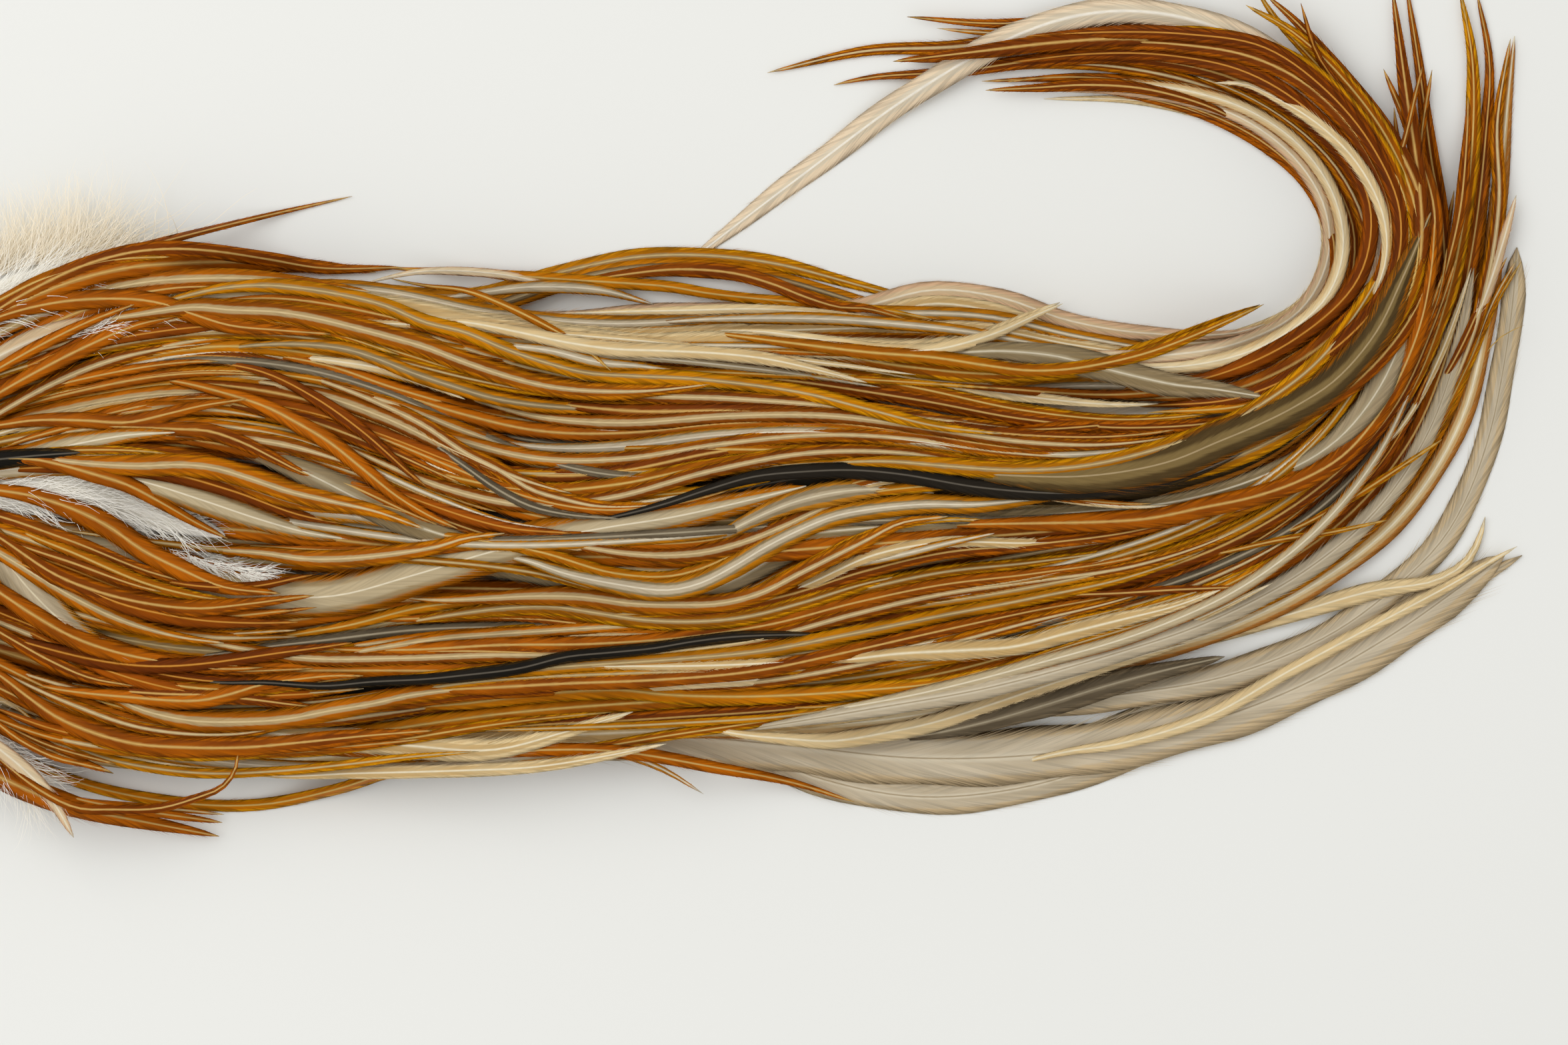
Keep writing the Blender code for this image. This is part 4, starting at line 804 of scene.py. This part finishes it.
# streams: evenly spaced feathers that run side by side between two guide lines over the middle of the pile
streams = {
    "upper_stream": ("ginger rust ginger rust pale ginger rust amber ginger",
        "44,50 58,50.4 70,53.4 82,56.6 95,58.4 110,59 125,60.4 140,62.8 155,64.6 170,64.4 182,62 194,56.4",
        "44,64.5 56,70.5 68,75 80,77 92,75.6 106,71.8 121,69 135,68.8 147,70.6 160,71.4 174,69.8 187,65.4"),
    "lower_stream": ("rust golden rust ginger golden rust ginger",
        "26,84 38,87.6 50,91 64,91.4 78,90.6 92,91.6 106,91 118,88.6 130,84.4 142,81.4 156,80.4 172,78.6 "
        "186,74.4 198,67",
        "14,104 28,107 42,108 56,107.4 70,106.6 84,105 98,104.2 112,103.4 126,101.4 140,98.6 154,95 "
        "168,91.4 182,86 194,79.6"),
}
streamHalf, streamShape = 1.12, (24, 60, 24)  # mm: half width, and rise, taper and point of plumeWidth
for group, (name, (kinds, upper, lower)) in enumerate(streams.items()):
    rng = np.random.default_rng(60 + group)
    kinds, sheets = kinds.split(), []
    for number, kind in enumerate(kinds):
        place = (number + 0.5 + 0.4 * (rng.random() - 0.5)) / len(kinds)
        guide = np.array(trace(upper)) * (1 - place) + np.array(trace(lower)) * place
        path, along = smoothPath(guide, feather["streamSpacing"])
        path, along = stretch(path, along, 0.2 * rng.random() * along[-1],
                              (0.82 + 0.18 * rng.random()) * along[-1])
        path = path + leftOf(path) * (0.35 * np.sin(along / 14 + 6 * rng.random()))[:, None]
        width = plumeWidth(along, streamHalf, *streamShape)
        sheets.append(laidFeather(path, along, width, 3, 0.3 + 0.12 * (number % 3), kind, rng, (0.85, 0.4),
                                  8800 + 50 * group + number, 0.5))
    putPiece(name, sheets, "ginger_feather")
print("streams:", len(streams))

# short feathers that end on top of the pile: each follows a stretch of one lock, a little to its side
shorts = {
    "count": 84, "startX": (-8, 56), "length": (26, 62), "halfWidth": (0.9, 1.4),  # mm
    "kinds": ["rust", "deep", "ginger", "amber", "rust", "ginger"],
    # locks that they lie on, by their first letters
    "beside": ("left", "fall", "crown", "upper_ginger", "spindle", "low_ginger"),
    "shape": (20, 40, 14),  # mm: rise, taper and point of plumeWidth
    "leftmost": -90,     # mm in the part: none starts farther left
    "fewest": 12,        # sections, below which it is left out
}
hosts = [name for name in locks if name.startswith(shorts["beside"])]
rng = np.random.default_rng(77)
sheets = []
for number in range(shorts["count"]):
    begin, size, wide, shift, tint = rng.random(5)
    path, along = smoothPath(trace(locks[hosts[number % len(hosts)]][2]), feather["fineSpacing"])
    startX = between(shorts["startX"], begin) - sheetOrigin[0]
    start = along[np.argmax(path[:, 0] >= startX)] if path[-1, 0] > startX + 20 else 0.0
    path, along = stretch(path, along, start, start + between(shorts["length"], size))
    if len(path) < shorts["fewest"] or path[0, 0] < shorts["leftmost"]:
        continue
    drift = (shift - 0.5) * 5 * (along / along[-1]) + (tint - 0.5) * 3
    path = path + leftOf(path) * drift[:, None]
    width = plumeWidth(along, between(shorts["halfWidth"], wide), *shorts["shape"])
    sheets.append(laidFeather(path, along, width, 2, 0.4 + 0.1 * (number % 5),
                              shorts["kinds"][number % len(shorts["kinds"])], rng, (0.8, 0.5), 8000 + number))
for half in (0, 1):
    putPiece("short_feathers_%d" % (half + 1), sheets[half::2], "ginger_feather")
print("short feathers:", len(sheets))

# thin feathers that show between the wide ones, each beside one lock for most of its way
thin = {
    "count": 44, "length": (70, 150), "halfWidth": (0.55, 0.9), "shape": (24, 40, 16),  # mm
    "begin": (0.16, 0.5),  # share of the lock's length
    "kinds": ["golden", "amber", "cream", "golden", "rust", "pale", "amber", "smoke"],
    "beside": ("low_g", "mid", "bend", "upper_g", "curl_2", "curl_5", "outer", "fall"),
}
hosts = [name for name in locks if name.startswith(thin["beside"])]
rng = np.random.default_rng(78)
sheets = []
for number in range(thin["count"]):
    half, kinds, points = locks[hosts[(5 * number) % len(hosts)]]
    begin, size, wide, shift, tint = rng.random(5)
    path, along = smoothPath(trace(points), feather["streamSpacing"])
    start = between(thin["begin"], begin) * along[-1]
    path, along = stretch(path, along, start, start + between(thin["length"], size))
    path = path + leftOf(path) * (half * (2 * shift - 1) + 0.8 * np.sin(along / 21 + 6 * tint))[:, None]
    width = plumeWidth(along, between(thin["halfWidth"], wide), *thin["shape"])
    sheets.append(laidFeather(path, along, width, 2, 0.3 + 0.05 * (number % 5),
                              thin["kinds"][number % len(thin["kinds"])], rng, (0.8, 0.5), 8500 + number))
putPiece("thin_feathers", sheets, "golden_feather")
print("thin feathers:", len(sheets))

# the dried skin, and the down that grows out of it
skin = {"front": -78.0, "rear": -8.0, "middle": 75.0, "halfWidth": 26.0, "thickness": 1.4,  # mm on the sheet
        "colour": "#C9A36B", "darkColour": "#A67C45"}
down = {
    "whiteColour": "#FFFBF0", "creamColour": "#FFF5E0",
    "width": 0.12,       # mm at the root of a thread
    "segments": 6,
    "bend": 1.7,         # radians that a thread turns in all, between bends to the left and to the right
    "wave": 0.5,         # radians of the waves along it
    "ribbonThreads": 1300, "tuftThreads": 320, "looseThreads": 1900,
}


def downMaterial(name, colour):
    # soft keratin threads too fine to shine: matt and nearly white
    made, _, shader = newMaterial(name, 0.75, barbs["ior"])
    shader.inputs["Base Color"].default_value = linear(colour)
    shader.inputs["Specular IOR Level"].default_value = 0.2
    return made


def putDown(name, colour, roots, headings, lengths, heights, rise, seed):
    # three-sided threads: the heading turns by a random bend and wave along the thread's share s, and
    # height = start + rise * random * sin(0.8 pi s)
    rng = np.random.default_rng(seed)
    n, steps = len(roots), down["segments"]
    s = np.linspace(0, 1, steps + 1)
    bend = (rng.random((n, 1)) - 0.5) * down["bend"]
    wave = (rng.random((n, 1)) - 0.5) * down["wave"]
    turn = headings[:, None] + bend * s + wave * np.sin(7 * s)
    step = lengths[:, None] / steps
    x = roots[:, :1] + np.cumsum(np.cos(turn) * step, 1) - np.cos(turn[:, :1]) * step
    y = roots[:, 1:] + np.cumsum(np.sin(turn) * step, 1) - np.sin(turn[:, :1]) * step
    z = heights[:, None] + rise * rng.random((n, 1)) * np.sin(np.pi * 0.8 * s)
    w = 0.5 * down["width"] * (0.7 + 0.6 * rng.random((n, 1))) * (1 - 0.85 * s)
    across = np.stack([-np.sin(turn), np.cos(turn)])
    ring = np.stack([
        np.stack([x + across[0] * w, y + across[1] * w, z], -1),
        np.stack([x - across[0] * w, y - across[1] * w, z], -1),
        np.stack([x, y, z + 0.5 * w], -1)], 2)
    index = np.arange(n * (steps + 1) * 3).reshape(n, steps + 1, 3)
    one, two = index[:, :-1], index[:, 1:]
    sides = [np.stack([one[..., a], one[..., b], two[..., b], two[..., a]], -1).reshape(-1, 4)
             for a, b in ((1, 0), (0, 2), (2, 1))]
    faces = np.concatenate(sides).tolist() + index[:, 0, ::-1].tolist() + index[:, -1].tolist()
    mesh = bpy.data.meshes.new(name)
    mesh.from_pydata((ring.reshape(-1, 3) * mm).tolist(), [], faces)
    mesh.materials.append(downMaterial(name, colour))
    placePiece(name, mesh, ())


tufts = {
    "down_middle": (5.0, "-47,77 -20,74 2,73.4 18,75.4 34,80.4"),
    "down_lower": (4.4, "-55,84 -30,94 -10,106 2,115 10,123"),
    "down_upper": (4.6, "-55,66 -26,58 -6,49 10,42 24,41"),
}
for number, (name, (half, points)) in enumerate(tufts.items()):
    rng = np.random.default_rng(300 + number)
    path, along = smoothPath(trace(points), 0.5)
    roof = upperFaces([name])
    count = down["ribbonThreads"]
    pick = rng.integers(0, int(len(path) * 0.93), count)
    side = leftOf(path)[pick]
    out = rng.random(count) * 2 - 1
    roots = path[pick] + side * (out * half * 0.6)[:, None]
    headings = np.arctan2(-side[:, 0], side[:, 1]) + out * 0.55 + (rng.random(count) - 0.5) * 0.4
    heights = roofHeight(roof, roots) + 0.2 + 0.9 * rng.random(count)
    width = plumeWidth(along, half, 20, 40, 20)
    base = [eased(level, 4) + 0.1 for level in acrossPath(path, width, lambda xy: roofHeight(roof, xy))]
    putPiece(name + "_vane", [featherSheet(path, along, width, base, "white", 0.3, 1.0, 320 + number)],
             "down_feather", name)
    putDown(name + "_fibres", down["whiteColour"], roots, headings, 4 + 4.5 * rng.random(count), heights, 0.9,
            310 + number)

# small white tufts that show between the feathers
patches = ("9,51.6 14,50 19,48.4 25,47.2", "25,81.8 30,83.6 35,85.2 40,86.6")
rng = np.random.default_rng(340)
roots, headings = [], []
for points in patches:
    path, along = smoothPath(trace(points), 0.5)
    pick = rng.integers(0, len(path), down["tuftThreads"])
    side = leftOf(path)[pick]
    out = rng.random(down["tuftThreads"]) * 2 - 1
    roots.append(path[pick] + side * (1.1 * out)[:, None])
    headings.append(np.arctan2(-side[:, 0], side[:, 1]) + 0.4 * out)
roots = np.concatenate(roots)
lengths = 2.5 + 2.5 * rng.random(len(roots))
putDown("white_tufts", down["whiteColour"], roots, np.concatenate(headings), lengths,
        pileHeight(roots) + 0.1 + 0.7 * rng.random(len(roots)), 0.4, 341)

# loose cream fluff that stands out past the upper edge of the pelt
rng = np.random.default_rng(333)
count = down["looseThreads"]
roots = toPart(np.column_stack([2.5 + 7 * rng.standard_normal(count), 43.4 - 1.6 * rng.random(count)]))
roots[:, 1] += 0.28 * (roots[:, 0] + 75)  # the pelt's edge rises to the right
headings = 0.85 + 1.7 * (rng.random(count) - 0.5)
putDown("loose_fluff", down["creamColour"], roots, headings, 6 + 10 * rng.random(count) ** 1.4,
        0.6 + 4.5 * rng.random(count), 3.0, 334)
print("down laid")

# cover: short feathers and down round the quills, at the skin end
cover = {
    "feathers": 64, "rows": (-72, -34), "length": (20, 34),  # mm
    "halfWidth": (2.2, 3.2), "shape": (12, 20, 12),
    "kinds": ["rust", "stone", "ginger", "umber", "rust", "hemmed"],
    "plantedRun": 18,    # mm over which a feather rises from the skin to the pile
    "fluff": 1500, "fluffShare": 0.84,  # threads, and how much of the skin they cover each way
}
rng = np.random.default_rng(91)
sheets = []
for number in range(cover["feathers"]):
    begin, size, wide, shift = rng.random(5)[:4]
    x = between(cover["rows"], (number + begin) / cover["feathers"])
    reach = skin["halfWidth"] * 0.86 * np.sqrt(max(0.05, 1 - ((x + 43) / 35) ** 2))
    y = skin["middle"] + (2 * shift - 1) * reach
    length = between(cover["length"], size)
    bow = 0.0036 * (y - skin["middle"]) * length
    path, along = smoothPath([(x, y), (x + 0.5 * length, y + bow), (x + length, y)], feather["fineSpacing"])
    width = plumeWidth(along, between(cover["halfWidth"], wide), *cover["shape"])
    ground = np.max(acrossPath(path, width, pileHeight), axis=0)
    over = np.maximum(eased(highest(ground, 3), 4), skin["thickness"]) - 0.7 + 0.1 * (number % 5)
    rest = dressing["plantedTop"] + over * softStep(along / cover["plantedRun"])
    kind = cover["kinds"][number % len(cover["kinds"])]
    sheets.append(featherSheet(path, along, width, [rest, rest, rest], kind, rng.random(), 0.9,
                               9500 + number))
putPiece("cover_feathers", sheets, "ginger_feather")
count = cover["fluff"]
around = rng.random(count) * 2 * np.pi
ringed = np.sqrt(rng.random(count)) * cover["fluffShare"]
roots = toPart(np.column_stack([-45 + 30 * ringed * np.cos(around),
                                skin["middle"] + skin["halfWidth"] * ringed * np.sin(around)]))
headings = 1.4 * (rng.random(count) - 0.5)
putDown("root_fluff", down["whiteColour"], roots, headings, 6 + 8 * rng.random(count),
        1.2 + 2.4 * rng.random(count), 2.6, 92)
print("cover laid:", len(sheets))


def skinMaterial():
    # skin scraped and dried on a board: parchment, yellowish and waxy, with a pore at every quill;
    # clouds about 6 mm and pores about 3 mm apart
    made, tree, shader = newMaterial("driedSkin", 0.5, 1.45)
    place = addNode(tree, "TexCoord").node.outputs["Object"]
    cloud = addNode(tree, "TexNoise", values={"Scale": 160.0, "Detail": 6.0}, feeds={"Vector": place})
    pores = addNode(tree, "TexVoronoi", values={"Scale": 330.0}, feeds={"Vector": place})
    colour = addNode(tree, "Mix", data_type="RGBA", feeds={0: cloud}).node
    colour.inputs[6].default_value = linear(skin["darkColour"])
    colour.inputs[7].default_value = linear(skin["colour"])
    tree.links.new(colour.outputs[2], shader.inputs["Base Color"])
    height = addNode(tree, "Math", operation="MULTIPLY_ADD", values={1: 0.6}, feeds={0: pores, 2: cloud})
    relief = addNode(tree, "Bump", values={"Strength": 0.7, "Distance": 0.4 * mm}, feeds={"Height": height})
    tree.links.new(relief, shader.inputs["Normal"])
    return made


# outline: an egg, wider to the front, with a slightly wavy edge
turn = np.linspace(0, 2 * np.pi, 224, endpoint=False)
egg = 1 + 0.16 * np.cos(turn)
wave = 1 + 0.02 * (np.sin(5 * turn + 1.0) + 0.75 * np.sin(9 * turn))
middleX, halfLength = (skin["rear"] + skin["front"]) / 2, np.ptp([skin["front"], skin["rear"]]) / 2
rim = toPart(np.column_stack([middleX + halfLength * np.cos(turn),
                              skin["middle"] + skin["halfWidth"] * np.sin(turn) * egg * wave]))
centre = rim.mean(axis=0)
# rings from the middle of the top out over the rim and back to the middle of the underside
shares = np.concatenate([np.linspace(0.04, 0.97, 26), [0.99, 1.0, 0.99, 0.95], np.linspace(0.8, 0.04, 5)])
levels = np.concatenate([np.full(26, 1.0), [0.9, 0.5, 0.1, 0.0], np.zeros(5)])
rings = centre + (rim[None] - centre) * shares[:, None, None]
# waves of the dried skin: long ones both ways and short ones along it
ripple = 0.12 * np.sin(rings[..., 0] / 3.1) * np.sin(rings[..., 1] / 2.7 + 1)
ripple += 0.05 * np.sin(rings[..., 0] * 1.3)
skinZ = (skin["thickness"] + ripple - 0.1) * levels[:, None]
skinPoints = np.concatenate([rings, skinZ[..., None]], -1).reshape(-1, 3)
count = len(turn)
skinMesh = bpy.data.meshes.new("dried_skin_patch")
skinMesh.from_pydata((skinPoints * mm).tolist(), [], tubeFaces(len(shares), count).tolist()
                     + [list(range(count))[::-1], list(range(len(skinPoints) - count, len(skinPoints)))])
skinMesh.polygons.foreach_set("use_smooth", [True] * len(skinMesh.polygons))
skinMesh.materials.append(skinMaterial())
placePiece("dried_skin_patch", skinMesh, ["skin_patch"])
print("skin laid")

# camera, floor and light as in the photograph
view = {"lens": 150.0, "sensor": 36.0, "frameWidth": 235.2, "focusHeight": 7.0, "centre": (117.6, 78.4)}  # mm
room = {
    "cardColour": "#EEEEE9",
    "aim": (0.03, 0.0, 0.0),  # m, where the lamps point
    "skyPower": 0.6,
    "lamps": [
        dict(name="keyBox", size=1.2, power=7.6, place=(-0.6, 0.36, 0.95)),
        dict(name="fillBox", size=1.2, power=1.7, place=(0.4, -0.6, 1.1)),
    ],
}
camera = placed("camera", bpy.data.cameras.new("camera"))
camera.data.lens = view["lens"]
camera.data.sensor_width = view["sensor"]
camera.data.clip_start = 0.05
spot = toPart([view["centre"]])[0]
distance = view["frameWidth"] * view["lens"] / view["sensor"]
camera.location = (spot[0] * mm, spot[1] * mm, (distance + view["focusHeight"]) * mm)
bpy.context.scene.camera = camera

floor = placed("floor", bpy.data.meshes.new("floor"))
floor.data.from_pydata([(-2, -2, 0), (2, -2, 0), (2, 2, 0), (-2, 2, 0)], [], [(0, 1, 2, 3)])
floor.location.z = -0.0001  # just under the part, so that their faces don't lie in one plane
card = bpy.data.materials.new("whiteCard")
card.use_nodes = True
card.node_tree.nodes["Principled BSDF"].inputs["Base Color"].default_value = linear(room["cardColour"])
card.node_tree.nodes["Principled BSDF"].inputs["Roughness"].default_value = 0.7
floor.data.materials.append(card)

for lamp in room["lamps"]:
    light = bpy.data.lights.new(lamp["name"], "AREA")
    light.size = lamp["size"]
    light.energy = lamp["power"]
    stand = placed(lamp["name"], light)
    stand.location = lamp["place"]
    aim = np.array(room["aim"]) - np.array(lamp["place"])
    stand.rotation_euler = (np.arctan2(np.hypot(aim[0], aim[1]), -aim[2]), 0.0,
                            np.arctan2(aim[0], -aim[1]) + np.pi)

world = bpy.data.worlds.new("softRoom")
world.use_nodes = True
world.node_tree.nodes["Background"].inputs["Color"].default_value = (1.0, 1.0, 1.0, 1.0)
world.node_tree.nodes["Background"].inputs["Strength"].default_value = room["skyPower"]
bpy.context.scene.world = world
bpy.context.scene.view_settings.view_transform = "Standard"
print("camera, floor and light set")
